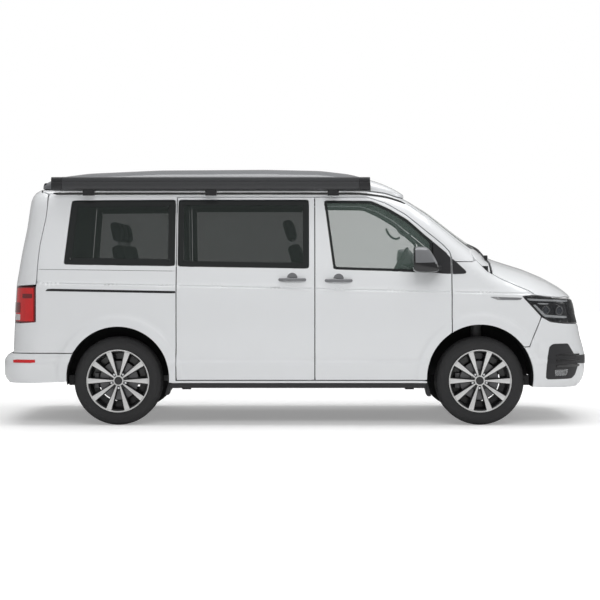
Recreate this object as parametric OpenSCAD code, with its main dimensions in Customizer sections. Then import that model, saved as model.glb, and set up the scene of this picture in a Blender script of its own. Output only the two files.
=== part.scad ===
// Camper van: a one-box van with two hinged front doors, a sliding side door, a lifting
// tailgate, a bonnet, steered front wheels, an elevating sleeping roof and a side awning.
// Frame: X forward, Y to the van's left, Z up; origin on the ground under the middle of the
// overall box. Millimetres.

/* [Overall] */
// Distance between the two axle lines
wheelbase = 2955; // [2450:5:3600]
// Front axle to the front of the bumper
front_overhang = 950; // [900:5:1200]
// Rear axle to the back of the bumper
rear_overhang = 995; // [950:5:1400]
// Width over the side panels, without mirrors
body_w = 1904; // [1580:2:2290]
// Height of the fixed roof skin at its middle
roof_z = 1945; // [1800:5:2340]
// Height of the elevating roof's crown above the fixed roof skin
pop_h = 176; // [140:1:215]
// Height of the belt line, where the side panels are widest
belt_z = 1000; // [960:5:1060]
// Underside of the sills
sill_z = 302; // [250:1:330]

/* [Walls] */
// Thickness of a whole door or side wall, skin and trim together
wall = 50; // [40:1:60]
// Thickness of a wheel arch liner
liner_t = 6; // [4:1:8]
// Outer radius of a wheel arch liner, over the arch opening's
liner_out = 18; // [14:1:20]
// Thickness of the bonnet
bonnet_t = 22; // [18:1:28]
// Thickness of an outer door skin, ahead of its smaller inner frame
skin_t = 14; // [12:1:18]
// How much smaller the door's inner frame is than its skin, all round
frame_inset = 36; // [32:1:42]
// Gap round a panel that opens
door_gap = 8; // [7:0.5:10]
// Gap round a panel that stays shut
panel_gap = 4; // [3:0.5:6]
// Thickness of the window glass
glass_t = 6; // [4:0.5:8]
// How far the glass laps over its opening, all round
glass_lap = 25; // [18:1:30]
// How far the glass lies under the skin
glass_set = 2; // [1:0.5:4]

/* [Doors and windows] */
// Pillar line behind the front door, back from the front axle
b_pillar = 1349; // [1250:1:1450]
// Pillar line behind the sliding door, ahead of the rear axle
c_pillar = 475; // [440:1:520]
// Bottom edge of the doors
door_z = 367; // [350:1:400]
// Door top edge, below the roof skin
door_drop = 77; // [70:1:90]
// Window top edge, below the roof skin
glass_drop = 97; // [92:1:110]
// Window bottom edge, above the belt line
glass_rise = 290; // [270:1:320]
// Front door hinge line, back from the front axle
door_hinge_x = 255; // [252:1:260]
// Front door hinge line, in from the widest side
door_hinge_in = 12; // [10:1:14]
// Hinge pin radius
pin_r = 5; // [4:0.5:6]

/* [Wheels] */
// Outer radius of the tyre
tyre_r = 362; // [320:1:380]
// Width of the tyre
tyre_w = 235; // [200:1:245]
// Radius of the rim's outer lip
rim_r = 259; // [225:1:270]
// Number of spokes
spokes = 10; // [5:1:12]
// Middle of one tyre to the middle of the other, across the van
track = 1634; // [1600:2:1660]
// Stub axle radius
stub_r = 30; // [25:1:34]
// Running clearance of axles and pins
run = 0.05; // [0.03:0.01:0.1]
// Steering pivot, in from the tyre's middle plane
kingpin_in = 47; // [44:1:55]
// Steering pivot radius
kingpin_r = 14; // [12:1:16]
// Brake disc radius
disc_r = 165; // [140:1:175]
// Radius of the front wheel arch opening
front_arch_r = 432; // [410:1:445]
// Radius of the rear wheel arch opening
rear_arch_r = 415; // [395:1:430]
// Height of the arch's centre over the axle's
arch_up = 26; // [15:1:35]

/* [Awning] */
// Length of the awning case
awning_l = 2608; // [2200:2:2800]
// Height of the awning case
awning_h = 111; // [90:1:130]
// Depth of the awning case, outwards
awning_d = 104; // [85:1:125]

/* [Fittings] */
// Seat cushion width
seat_w = 500; // [420:5:560]
// Steering wheel radius
helm_r = 190; // [170:1:210]
// Spacing of the number plate's screw holes
plate_pitch = 300; // [250:5:340]
// Radius of the number plate's screw holes
plate_hole_r = 3; // [2:0.5:4]
// Tow eye socket radius
tow_r = 9; // [7:0.5:12]
// Tow eye socket depth
tow_l = 30; // [20:1:34]
// Side of a square jacking pad
jack_pad = 70; // [50:1:90]

/* [Hidden] */
$fn = 48;
rear_x = -(front_overhang + wheelbase + rear_overhang) / 2;
R = rear_x + rear_overhang;       // rear axle line
F = R + wheelbase;                // front axle line
front_x = F + front_overhang;
hw = body_w / 2;
B = F - b_pillar;                 // front door / sliding door line
Q = R + c_pillar;                 // sliding door / quarter panel line
axle_z = tyre_r;
wheel_y = track / 2;
kingpin_y = wheel_y - kingpin_in;
far = 3 * body_w;                 // longer than anything that it cuts
sill_in = 28;                     // sill face in from the widest side
glass_z0 = belt_z + glass_rise;
glass_z1 = roof_z - glass_drop;
door_z1 = roof_z - door_drop;
floor_z = 500;
floor_t = 40;
hinge_tab_t = 8;
hinge_clear = 30;
pin_l = 60;
sill_trim_h = 45;
door_hinge_z = [belt_z - 145, belt_z + 170];
tail_hinge = [rear_x + 303, roof_z - 12];
roof_hinge = [rear_x + 385, roof_z + 26];
bonnet_hinge = [F + 137, 1340];
bonnet_swing_r = 60;              // room about its hinge for the bonnet's rear edge
door_post_in = 55;                // door hinge line to the rear face of the post that carries it
hinge_pair_y = 480;               // bonnet, tailgate and roof hinges, from the middle

// ---- outlines -------------------------------------------------------------------------
// Side view of the fixed body, x and z
profile = [
    [rear_x + 120, sill_z + 30], [rear_x + 25, sill_z + 50], [rear_x, sill_z + 98],
    [rear_x, 500], [rear_x + 15, 565], [rear_x + 38, 594], [rear_x + 42, 840],
    [rear_x + 52, 1141], [rear_x + 100, 1400], [rear_x + 150, roof_z - 335],
    [rear_x + 215, roof_z - 45], [rear_x + 228, roof_z - 15], [rear_x + 250, roof_z],
    [F - 1000, roof_z], [F - 760, roof_z - 20], [F - 581, roof_z - 70],
    [F - 406, roof_z - 169], [F - 141, roof_z - 370], [F - 4, 1480], [F + 107, 1382],
    [F + 215, 1346], [F + 440, 1276], [F + 604, 1208], [F + 723, 1141], [F + 800, 1074],
    [F + 840, 1015], [F + 860, 900], [F + 889, 812], [F + 905, 713], [F + 930, 640],
    [front_x, 560], [front_x, 440], [front_x - 14, 365], [front_x - 90, sill_z + 14],
    [F + 440, sill_z - 18], [F + 380, sill_z], [R - 480, sill_z]];
// Cross-section of the cabin, half width and z
cabin_half = [
    [hw - 40, sill_z - 30], [hw - sill_in, 345], [hw - 10, 520], [hw - 3, 540],
    [hw, belt_z], [hw - 2, belt_z + 100], [hw - 9, belt_z + 120], [hw - 24, glass_z0 - 30],
    [hw - 80, (glass_z0 + glass_z1) / 2], [hw - 135, glass_z1 + 10], [hw - 152, roof_z - 70],
    [hw - 200, roof_z - 40], [hw - 330, roof_z - 15], [hw - 600, roof_z]];
// Cross-section of the nose, half width and height over its own crown line
nose_half = [
    [hw, -1200], [hw, -262], [hw - 14, -225], [hw - 90, -160], [hw - 200, -105],
    [hw - 330, -55], [hw - 520, -18], [hw - 800, 0]];
// Plan view, x and half width
plan_half = [
    [rear_x, 0], [rear_x + 4, hw - 560], [rear_x + 14, hw - 300], [rear_x + 42, hw - 150],
    [rear_x + 90, hw - 70], [rear_x + 160, hw - 26], [rear_x + 270, hw - 7],
    [rear_x + 450, hw], [F + 80, hw], [F + 380, hw - 8], [F + 560, hw - 30],
    [F + 680, hw - 70], [F + 790, hw - 140], [F + 870, hw - 240], [F + 920, hw - 370],
    [F + 944, hw - 560], [front_x, 0]];
// The nose's crown line, which the nose section follows
nose_a = [F + 100, 1396];
nose_b = [F + 723, 1150];
nose_angle = atan2(nose_a[1] - nose_b[1], nose_b[0] - nose_a[0]);

// Shut lines, x and z
front_door_line = [
    [B, door_z], [B, door_z1], [F - 913, door_z1], [F - 759, door_z1 - 53],
    [F - 601, door_z1 - 146], [F - 443, door_z1 - 276], [F - 301, door_z1 - 392],
    [F - 246, 1415], [F - 231, 1362], [F - 231, door_z]];
sliding_door_line = [[Q, door_z], [Q, door_z1], [B, door_z1], [B, door_z]];
tailgate_line = [
    [rear_x + 328, 1145], [rear_x + 339, 1364], [rear_x + 352, 1484],
    [rear_x + 395, roof_z - 244], [rear_x + 404, roof_z - 140], [rear_x + 385, roof_z - 85],
    [rear_x + 332, roof_z - 54], [rear_x + 332, roof_z + 90], [rear_x - 100, roof_z + 90],
    [rear_x - 100, 1145]];
tailgate_half_w = hw - 172;       // below the lamps' top the tailgate is narrower
tailgate_foot_z = 606;
bumper_top_z = 590;
rear_bumper_line = [[rear_x - 100, sill_z - 60], [rear_x - 100, bumper_top_z],
    [R, bumper_top_z], [R, sill_z - 60]];
tail_lamp_line = [[rear_x - 100, 834], [rear_x - 100, 1134], [rear_x + 322, 1134],
    [rear_x + 322, 834]];
hood_line = [
    [F + 108, 1236], [F + 180, 1194], [F + 299, 1141], [F + 401, 1100], [F + 449, 1064],
    [F + 560, 1050], [F + 1000, 1026], [F + 1000, 1500], [F + 108, 1500]];
lamp_line = [
    [F + 346, 1052], [F + 449, 1060], [F + 560, 1046], [F + 1000, 1022], [F + 1000, 813],
    [F + 771, 817], [F + 579, 845], [F + 503, 886]];
front_bumper_line = [
    [F + 300, sill_z - 60], [F + 300, 640], [F + 400, 640], [F + 503, 886], [F + 579, 845],
    [F + 771, 817], [F + 1000, 813], [F + 1000, sill_z - 60]];
wing_line = [
    [F - 226, door_z], [F - 226, 1336], [F - 60, 1336], [F - 30, 1352], [F + 66, 1245],
    [F + 176, 1188], [F + 295, 1135], [F + 397, 1094], [F + 442, 1064], [F + 336, 1055],
    [F + 498, 888], [F + 394, 640], [F + 296, 640], [F + 296, 500]];
lamp_inner_y = hw - 440;          // the lamps' edge towards the grille

// Glass outlines, x and z
quarter_glass = [[R - 444, glass_z0 + 27], [R - 388, glass_z1 - 8], [Q - 10, glass_z1],
    [Q - 10, glass_z0 + 7]];
slider_glass = [[Q + 10, glass_z1], [B - 47, glass_z1], [B - 47, glass_z0 - 12],
    [Q + 10, glass_z0 + 5]];
door_glass = [[B + 150, glass_z0 - 19], [B + 74, glass_z1 - 8], [F - 860, glass_z1 - 20],
    [F - 727, glass_z1 - 86], [F - 586, glass_z1 - 170], [F - 460, glass_z1 - 286],
    [F - 372, glass_z1 - 366], [F - 365, glass_z0 - 47]];
screen_line = [[F - 566, roof_z - 60], [F + 88, 1425], [F + 50, 1330], [F - 640, roof_z - 110]];
screen_half_w = hw - 190;
tail_glass_half_w = hw - 262;

// ---- tools ----------------------------------------------------------------------------
function mirrored(h) = concat(h, [for (i = [len(h) - 1:-1:0]) [-h[i][0], h[i][1]]]);
function plan_mirrored(h) =
    concat(h, [for (i = [len(h) - 2:-1:1]) [h[i][0], -h[i][1]]]);

module inset2d(d) {
    if (d == 0) children();
    else offset(delta = -d) children();
}
module along_y(y0, y1) translate([0, y1, 0]) rotate([90, 0, 0]) linear_extrude(y1 - y0) children();
module along_x(x0, x1) translate([x0, 0, 0]) rotate([90, 0, 90]) linear_extrude(x1 - x0) children();
module both_sides() {
    children();
    mirror([0, 1, 0]) children();
}
module block(x0, x1, y0, y1, z0, z1) translate([x0, y0, z0]) cube([x1 - x0, y1 - y0, z1 - z0]);
module rod_y(x, z, r, y0, y1) translate([x, y0, z]) rotate([-90, 0, 0]) cylinder(h = y1 - y0, r = r);
module rod_x(y, z, r, x0, x1) translate([x0, y, z]) rotate([0, 90, 0]) cylinder(h = x1 - x0, r = r);
module rod_z(x, y, r, z0, z1) translate([x, y, z0]) cylinder(h = z1 - z0, r = r);

// The whole body as one solid, drawn in by d all round
module envelope(d = 0) {
    intersection() {
        along_y(-hw - 10, hw + 10) inset2d(d) polygon(profile);
        linear_extrude(roof_z + 100) inset2d(d) polygon(plan_mirrored(plan_half));
        union() {
            along_x(rear_x - 10, F + 108) inset2d(d) polygon(mirrored(cabin_half));
            translate([nose_a[0], 0, nose_a[1]]) rotate([0, nose_angle, 0])
                along_x(-60, 1400) inset2d(d) polygon(mirrored(nose_half));
        }
    }
}
module shell(t = wall) difference() {
    envelope();
    envelope(t);
}
// One side's stretch of the wall: s is 1 for the left side and -1 for the right
module side_slab(s, depth = 260) {
    if (s > 0) block(rear_x - 10, front_x + 10, hw - depth, hw + 20, 0, roof_z + 100);
    else block(rear_x - 10, front_x + 10, -hw - 20, -hw + depth, 0, roof_z + 100);
}
module arches2d(extra = 0) {
    translate([F, axle_z + arch_up]) circle(r = front_arch_r + extra);
    translate([R, axle_z + arch_up]) circle(r = rear_arch_r + extra);
    translate([F - front_arch_r - extra, 0]) square([2 * (front_arch_r + extra), axle_z + arch_up]);
    translate([R - rear_arch_r - extra, 0]) square([2 * (rear_arch_r + extra), axle_z + arch_up]);
}
module side_cut(line, s, grow = 0) {
    if (s > 0) along_y(hw - 330, hw + 30) offset(delta = grow) polygon(line);
    else along_y(-hw - 30, -hw + 330) offset(delta = grow) polygon(line);
}

// A pane set under the skin, its outline drawn on the side
module pane(line, s) intersection() {
    difference() {
        envelope(glass_set);
        envelope(glass_set + glass_t);
    }
    side_cut(line, s);
}
// What a pane needs cut: its seat, and a smaller opening through the wall
module pane_cut(line, s) {
    difference() {
        side_cut(line, s);
        envelope(glass_set + glass_t);
    }
    side_cut(line, s, -glass_lap);
}

// ---- body -----------------------------------------------------------------------------
module tail_region(gap) {
    along_y(-hw - 20, hw + 20) offset(delta = gap) polygon(tailgate_line);
    block(rear_x - 20, rear_x + 200, -tailgate_half_w - gap, tailgate_half_w + gap,
        tailgate_foot_z - gap, 1160);
}
module body_shell() difference() {
    shell();
    for (s = [-1, 1]) side_cut(front_door_line, s, door_gap / 2);
    side_cut(sliding_door_line, -1, panel_gap / 2);
    for (s = [-1, 1]) pane_cut(quarter_glass, s);
    pane_cut(slider_glass, 1);
    tail_region(door_gap / 2);
    along_y(-hw - 20, hw + 20) polygon(rear_bumper_line);
    along_y(-hw - 20, hw + 20) polygon(front_bumper_line);
    along_y(-hw - 20, hw + 20) polygon(wing_line);
    block(F - 228, F - 220, -hw - 20, hw + 20, door_z, 1336);
    along_y(-hw - 20, hw + 20) offset(delta = door_gap / 2) polygon(hood_line);
    along_y(-hw - 20, hw + 20) polygon(lamp_line);
    along_y(-hw - 20, hw + 20) polygon(tail_lamp_line);
    along_y(-hw - 20, hw + 20) arches2d();
    block(F + 88, front_x + 20, -hw - 20, hw + 20, 0, 1352);
    intersection() {
        along_y(-screen_half_w, screen_half_w) polygon(screen_line);
        difference() {
            envelope(-1);
            envelope(glass_set + glass_t);
        }
    }
    along_y(-screen_half_w + glass_lap, screen_half_w - glass_lap)
        offset(delta = -glass_lap) polygon(screen_line);
    block(rear_x + 60, F - 300, -hw + 70, hw - 70, 0, floor_z + floor_t);
    block(rear_x + 60, F + 560, -hw + 70, hw - 70, 0, sill_z + 60);
    // sleeping-deck opening under the elevating roof
    block(Q + 60, F - 1060, -480, 480, roof_z - 90, roof_z + 60);
    block(R, F, -hw, hw, 0, sill_z + sill_trim_h);
    for (s = [-1, 1]) block(tail_hinge[0] + 20, tail_hinge[0] + 77, s * hinge_pair_y - hinge_tab_t - 1,
        s * hinge_pair_y + hinge_tab_t + 1, roof_z - wall - 20, roof_z - 28);
}
module roof_panel() color("whitesmoke") difference() {
    intersection() {
        body_shell();
        block(rear_x - 10, front_x, -screen_half_w, screen_half_w, 900, roof_z + 10);
    }
    // room for the bonnet's rear edge, which swings back and down as it opens
    translate([bonnet_hinge[0], 0, bonnet_hinge[1]]) rotate([90, 0, 0])
        cylinder(r = bonnet_swing_r, h = body_w, center = true);
}
module side_panel_left() color("whitesmoke") intersection() {
    body_shell();
    block(rear_x - 10, front_x, screen_half_w, hw + 10, 0, roof_z + 10);
}
module side_panel_right() color("whitesmoke") intersection() {
    body_shell();
    block(rear_x - 10, front_x, -hw - 10, -screen_half_w, 0, roof_z + 10);
}
module floor_pan() color("dimgray") {
    difference() {
        union() {
            intersection() {
                block(rear_x + 20, B - 2, -hw, hw, floor_z, floor_z + floor_t);
                envelope(wall);
            }
            block(B - 10, F - 480, -hw + wall + 30, hw - wall - 30, floor_z, floor_z + floor_t);
            block(F - 500, F + 40, -470, 470, floor_z, floor_z + floor_t);
            block(F + 40, F + 70, -470, 470, floor_z, 1300);
        }
        for (s = [-1, 1]) {
            rod_y(F, axle_z + arch_up, front_arch_r + liner_out, s > 0 ? 490 : -hw, s > 0 ? hw : -490);
            rod_y(R, axle_z + arch_up, rear_arch_r + liner_out, s > 0 ? 620 : -hw, s > 0 ? hw : -620);
        }
    }
    // bulkhead top, door posts, sills and chassis legs
    intersection() {
        difference() {
            union() {
                block(F + 40, F + 70, -hw + wall, hw - wall, arch_top - 60, 1300);
                for (s = [-1, 1]) block(F - door_hinge_x + door_post_in, F + 41,
                    s > 0 ? hw - 120 : -hw + wall, s > 0 ? hw - wall : -hw + 120, arch_top - 60, 1300);
            }
            rod_y(F, axle_z + arch_up, front_arch_r + liner_out, -hw, hw);
        }
        envelope(wall);
    }
    for (s = [-1, 1]) {
        block(R + rear_arch_r + 30, F - front_arch_r - 30, s > 0 ? hw - 120 : -hw + 80,
            s > 0 ? hw - 80 : -hw + 120, sill_z + 10, floor_z + 1);
        block(rear_x + 80, F - 470, s * 430 - 40, s * 430 + 40, floor_z - 90, floor_z);
        for (x = [R + rear_arch_r + 140, F - front_arch_r - 140])
            block(x - jack_pad / 2, x + jack_pad / 2, s * (hw - 80 - jack_pad / 2) - jack_pad / 2,
                s * (hw - 80 - jack_pad / 2) + jack_pad / 2, sill_z - 12, sill_z + 12);
    }
}
arch_top = axle_z + arch_up + front_arch_r + liner_out;

module liner(x, r, inner_y) {
    difference() {
        rod_y(x, axle_z + arch_up, r + liner_out, inner_y, hw);
        rod_y(x, axle_z + arch_up, r + liner_out - liner_t, inner_y + liner_t, hw + 1);
        block(x - r - 60, x + r + 60, inner_y - 1, hw + 1, 0, axle_z + arch_up);
    }
}
module wheel_liners() color("black") both_sides() intersection() {
    union() {
        liner(F, front_arch_r, 490);
        liner(R, rear_arch_r, 620);
    }
    envelope(wall);
}
module front_wings() color("whitesmoke") difference() {
    intersection() {
        shell(30);
        along_y(-hw - 20, hw + 20) polygon(wing_line);
    }
    along_y(-hw - 20, hw + 20) arches2d();
    block(F - 400, front_x, -hw + 250, hw - 250, 0, roof_z);
}
module bonnet() color("whitesmoke") difference() {
    intersection() {
        shell(bonnet_t);
        along_y(-hw - 20, hw + 20) offset(delta = -door_gap / 2) polygon(hood_line);
    }
    for (s = [-1, 1]) hinge_pocket(bonnet_hinge, s * hinge_pair_y, [-34, 12], [-40, 9]);
}
module front_bumper() color("whitesmoke") difference() {
    intersection() {
        shell();
        along_y(-hw - 20, hw + 20) polygon(front_bumper_line);
    }
    along_y(-hw - 20, hw + 20) arches2d();
    block(F + 300, front_x - 90, -hw + 90, hw - 90, 0, sill_z + 60);
    for (s = [-1, 1]) insert_region(s, 0);
    rod_x(-520, 640, tow_r, front_x - 35 - tow_l, front_x + 20);
    block(front_x - 35, front_x + 20, -550, -490, 610, 670);
    for (s = [-1, 1]) rod_x(s * plate_pitch / 2, 610, plate_hole_r, front_x - 42, front_x + 20);
}
module insert_region(s, d) {
    y0 = s > 0 ? hw - 330 + d : -hw - 30;
    y1 = s > 0 ? hw + 30 : -hw + 330 - d;
    along_y(y0, y1) offset(delta = -d)
        polygon([[F + 556, 380], [F + 566, 600], [F + 610, 655], [F + 720, 655], [F + 1000, 560],
            [F + 1000, 470], [F + 860, 358], [F + 580, 358]]);
}
module bumper_inserts() for (s = [-1, 1]) intersection() {
    difference() {
        envelope(4);
        envelope(wall - 6);
    }
    insert_region(s, 0);
}
module rear_bumper() color("whitesmoke") difference() {
    intersection() {
        shell();
        along_y(-hw - 20, hw + 20) polygon(rear_bumper_line);
    }
    along_y(-hw - 20, hw + 20) arches2d();
    block(rear_x + 90, R, -hw + 90, hw - 90, 0, sill_z + 120);
}
module sill_trims() color("black") both_sides()
    block(R + rear_arch_r + 8, F - front_arch_r - 8, hw - 78, hw - 32, sill_z,
        sill_z + sill_trim_h);

module tailgate() color("whitesmoke") difference() {
    intersection() {
        shell();
        difference() {
            tail_region(-door_gap / 2);
            for (s = [-1, 1]) tail_lamp_block(s, panel_gap);
        }
    }
    intersection() {
        along_x(rear_x - 20, rear_x + 420) tail_glass2d(0);
        difference() {
            envelope(-1);
            envelope(glass_set + glass_t);
        }
    }
    along_x(rear_x - 20, rear_x + 420) tail_glass2d(-glass_lap);
    for (s = [-1, 1]) hinge_pocket(tail_hinge, s * hinge_pair_y, [-8, 60], [-60, 30]);
    for (s = [-1, 1]) rod_x(s * plate_pitch / 2, 900, plate_hole_r, rear_x - 10, rear_x + 100);
}
module tail_glass2d(grow) offset(delta = grow) polygon([
    [-tail_glass_half_w - 30, glass_z0 - 40], [-tail_glass_half_w, glass_z1 - 10],
    [tail_glass_half_w, glass_z1 - 10], [tail_glass_half_w + 30, glass_z0 - 40]]);
module tailgate_glass() color("darkslategray") intersection() {
    difference() {
        envelope(glass_set);
        envelope(glass_set + glass_t);
    }
    along_x(rear_x - 20, rear_x + 420) tail_glass2d(0);
}

// ---- doors ----------------------------------------------------------------------------
module hinged_door(s) {
    hinge = [F - door_hinge_x, s * (hw - door_hinge_in)];
    difference() {
        union() {
            difference() {
                intersection() {
                    shell(skin_t);
                    side_cut(front_door_line, s, -door_gap / 2);
                }
                along_y(-hw - 20, hw + 20) arches2d();
            }
            difference() {
                intersection() {
                    difference() {
                        envelope(skin_t - 0.5);
                        envelope(wall);
                    }
                    side_cut(front_door_line, s, -door_gap / 2 - frame_inset);
                }
                along_y(-hw - 20, hw + 20) arches2d(frame_inset);
            }
        }
        pane_cut(door_glass, s);
        for (z = door_hinge_z) {
            rod_z(hinge[0], hinge[1], pin_r + run, z - pin_l, z + pin_l);
            rod_z(hinge[0], hinge[1], hinge_clear, z - hinge_tab_t, z + hinge_tab_t);
        }
    }
    handle(s, B + 205);
    for (z = door_hinge_z) for (k = [-1, 1]) difference() {
        intersection() {
            rod_z(hinge[0], hinge[1], pin_r + 5, z + (k > 0 ? hinge_tab_t : -pin_l),
                z + (k > 0 ? pin_l : -hinge_tab_t));
            envelope(0);
        }
        rod_z(hinge[0], hinge[1], pin_r + run, z - pin_l - 1, z + pin_l + 1);
    }
}
// A bar handle that stands off the skin on two feet
module handle(s, x) {
    z = belt_z + 183;
    y0 = s > 0 ? hw - 30 : -hw - 10;
    for (dx = [-90, 82]) block(x + dx, x + dx + 8, y0, y0 + 40, z - 12, z + 12);
    block(x - 102, x + 102, s > 0 ? hw + 10 : -hw - 22, s > 0 ? hw + 22 : -hw - 10, z - 16, z + 16);
}
module front_door_left() color("whitesmoke") hinged_door(1);
module front_door_right() color("whitesmoke") hinged_door(-1);
module front_door_glass_left() color("lightslategray") pane(door_glass, 1);
module front_door_glass_right() color("lightslategray") pane(door_glass, -1);
module sliding_door() color("whitesmoke") {
    difference() {
        intersection() {
            shell();
            side_cut(sliding_door_line, -1, -panel_gap / 2);
        }
        pane_cut(slider_glass, -1);
    }
    handle(-1, B - 189);
    for (z = [700, belt_z + 150]) {
        block(B - 6, B + panel_gap / 2, -hw + 24, -hw + 40, z - 30, z + 30);
        block(Q - panel_gap / 2, Q + 6, -hw + 24, -hw + 40, z - 30, z + 30);
    }
}
module side_windows() color("darkslategray") for (s = [-1, 1]) {
    pane(quarter_glass, s);
    pane(slider_glass, s);
}
module windscreen() color("lightslategray") intersection() {
    difference() {
        envelope(glass_set);
        envelope(glass_set + glass_t);
    }
    along_y(-screen_half_w, screen_half_w) polygon(screen_line);
}
module mirror_head(s) {
    y0 = s > 0 ? hw + 25 : -hw - 195;
    difference() {
        block(F - 552, F - 330, y0, y0 + 170, 1262, 1449);
        translate([F - 250, s * (hw + 25), 1262]) rotate([0, -35, 0])
            translate([0, -300, 0]) cube([200, 600, 400]);
        block(F - 553, F - 540, y0 + 12, y0 + 158, 1284, 1437);
    }
    block(F - 350, F - 330, s > 0 ? hw - 60 : -hw - 60, s > 0 ? hw + 60 : -hw + 60, 1262, 1300);
}
module mirror_left() color("dimgray") difference() {
    mirror_head(1);
    envelope(0);
}
module mirror_right() color("dimgray") difference() {
    mirror_head(-1);
    envelope(0);
}

// ---- hinges ---------------------------------------------------------------------------
// What a bonnet, tailgate or roof needs cut for a hinge whose pin lies along Y: the pin's
// bore, room for the tab's eye, and the tab's sweep, given in X and Z from the pin
module hinge_pocket(p, y, dx, dz) {
    rod_y(p[0], p[1], pin_r + run, y - pin_l / 2, y + pin_l / 2);
    rod_y(p[0], p[1], pin_r + 5, y - hinge_tab_t, y + hinge_tab_t);
    block(p[0] + dx[0], p[0] + dx[1], y - hinge_tab_t, y + hinge_tab_t, p[1] + dz[0], p[1] + dz[1]);
}
// A hinge's pin and its tab, the tab drawn in X and Z from the pin
module hinge_y(p, y, tab) {
    rod_y(p[0], p[1], pin_r, y - pin_l / 2 + 3, y + pin_l / 2 - 3);
    translate([p[0], 0, p[1]]) along_y(y - hinge_tab_t / 2, y + hinge_tab_t / 2) {
        circle(r = pin_r + 2);
        polygon(tab);
    }
}
tail_tab = [[-7, 0], [0, 7], [8, 4], [33, -20], [77, -24], [77, -44], [20, -44]];
bonnet_tab = [[-7, 0], [7, 0], [-26, -90], [-67, -90], [-67, -64], [-30, -60]];
roof_tab = [[-6, 0], [6, 0], [14, -50], [-14, -50]];
// A front door hinge's tab in plan, forwards and inwards from the pin
door_tab = [[-7, 0], [7, 0], [9, 38], [door_post_in, 38], [door_post_in, 54], [-5, 54]];
module hinge_brackets() color("gray") for (s = [-1, 1]) {
    for (z = door_hinge_z) translate([F - door_hinge_x, s * (hw - door_hinge_in), 0]) {
        rod_z(0, 0, pin_r, z - pin_l + 5, z + pin_l - 5);
        translate([0, 0, z - hinge_tab_t / 2]) linear_extrude(hinge_tab_t) {
            circle(r = pin_r + 2);
            polygon([for (q = door_tab) [q[0], -s * q[1]]]);
        }
    }
    hinge_y(tail_hinge, s * hinge_pair_y, tail_tab);
    hinge_y(bonnet_hinge, s * hinge_pair_y, bonnet_tab);
    difference() {
        hinge_y(roof_hinge, s * hinge_pair_y, roof_tab);
        envelope(0);
    }
}

// ---- lamps and grille -----------------------------------------------------------------
module headlamps() color("silver") both_sides() intersection() {
    shell(120);
    along_y(lamp_inner_y, hw + 20) polygon(lamp_line);
}
module grilles() color("black") {
    intersection() {
        difference() {
            envelope(6);
            envelope(60);
        }
        along_y(-lamp_inner_y, lamp_inner_y) polygon(lamp_line);
    }
    bumper_inserts();
}
module tail_lamp_block(s, grow) {
    y0 = s > 0 ? tailgate_half_w + door_gap - grow : -hw - 20;
    y1 = s > 0 ? hw + 20 : -tailgate_half_w - door_gap + grow;
    along_y(y0, y1) offset(delta = grow) polygon(tail_lamp_line);
}
module tail_lamps() color("firebrick") for (s = [-1, 1]) intersection() {
    shell();
    tail_lamp_block(s, 0);
}

// ---- roof -----------------------------------------------------------------------------
pop_rear_x = rear_x + 340;
pop_z0 = roof_z + 8;
pop_clear = 8;                    // between the closed roof's skirt and the fixed roof
pop_half_w = hw - 212;
pop_profile = [
    [pop_rear_x, roof_z + 22], [pop_rear_x, roof_z + 60], [rear_x + 450, roof_z + 105],
    [rear_x + 700, roof_z + 145], [R + 300, roof_z + pop_h - 4], [R + 1200, roof_z + pop_h],
    [F - 1300, roof_z + pop_h - 10], [F - 1050, roof_z + pop_h - 42],
    [F - 834, roof_z + 69], [F - 740, roof_z + 35], [F - 654, roof_z - 8], [F - 596, roof_z - 48],
    [F - 600, roof_z - 70], [F - 1000, roof_z - 32], [rear_x + 450, roof_z - 32],
    [rear_x + 440, pop_z0], [rear_x + 420, pop_z0]];
pop_section = [
    [pop_half_w, roof_z - 80], [pop_half_w, roof_z + 40], [pop_half_w - 20, roof_z + 75],
    [pop_half_w - 80, roof_z + 115], [pop_half_w - 220, roof_z + 150],
    [pop_half_w - 450, roof_z + pop_h - 4], [0, roof_z + pop_h + 1]];
pop_plan = [
    [pop_rear_x, 0], [pop_rear_x + 6, pop_half_w - 150], [pop_rear_x + 60, pop_half_w - 30],
    [pop_rear_x + 160, pop_half_w], [F - 1000, pop_half_w], [F - 780, pop_half_w - 30],
    [F - 660, pop_half_w - 90], [F - 590, pop_half_w - 200], [F - 575, 0]];
pop_t = 24;
module pop_solid(d) intersection() {
    along_y(-hw, hw) inset2d(d) polygon(pop_profile);
    along_x(rear_x, F) inset2d(d) polygon(mirrored(pop_section));
    translate([0, 0, roof_z - 100]) linear_extrude(400) inset2d(d) polygon(plan_mirrored(pop_plan));
}
module pop_roof() color("darkslategray") difference() {
    pop_solid(0);
    intersection() {
        pop_solid(pop_t);
        block(rear_x, F, -hw, hw, roof_z - 100, roof_z + 400);
    }
    // open below, so that the canvas folds up into it
    along_y(-pop_half_w + pop_t, pop_half_w - pop_t)
        polygon([[rear_x + 470, roof_z - 60], [rear_x + 470, roof_z + 34],
            [F - 1010, roof_z + 34], [F - 1010, roof_z - 60]]);
    envelope(-pop_clear);
    for (s = [-1, 1]) hinge_pocket(roof_hinge, s * hinge_pair_y, [-27, 16], [-40, 8]);
}
module roof_canvas() color("gray") difference() {
    block(rear_x + 500, F - 1040, -pop_half_w + 40, pop_half_w - 40, roof_z, roof_z + 30);
    block(rear_x + 540, F - 1080, -pop_half_w + 80, pop_half_w - 80, roof_z - 1, roof_z + 31);
}
module roof_rails() color("black") both_sides() difference() {
    block(rear_x + 440, F - 640, hw - 190, hw - 150, roof_z - 75, roof_z - 8);
    envelope(0);
}
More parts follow.
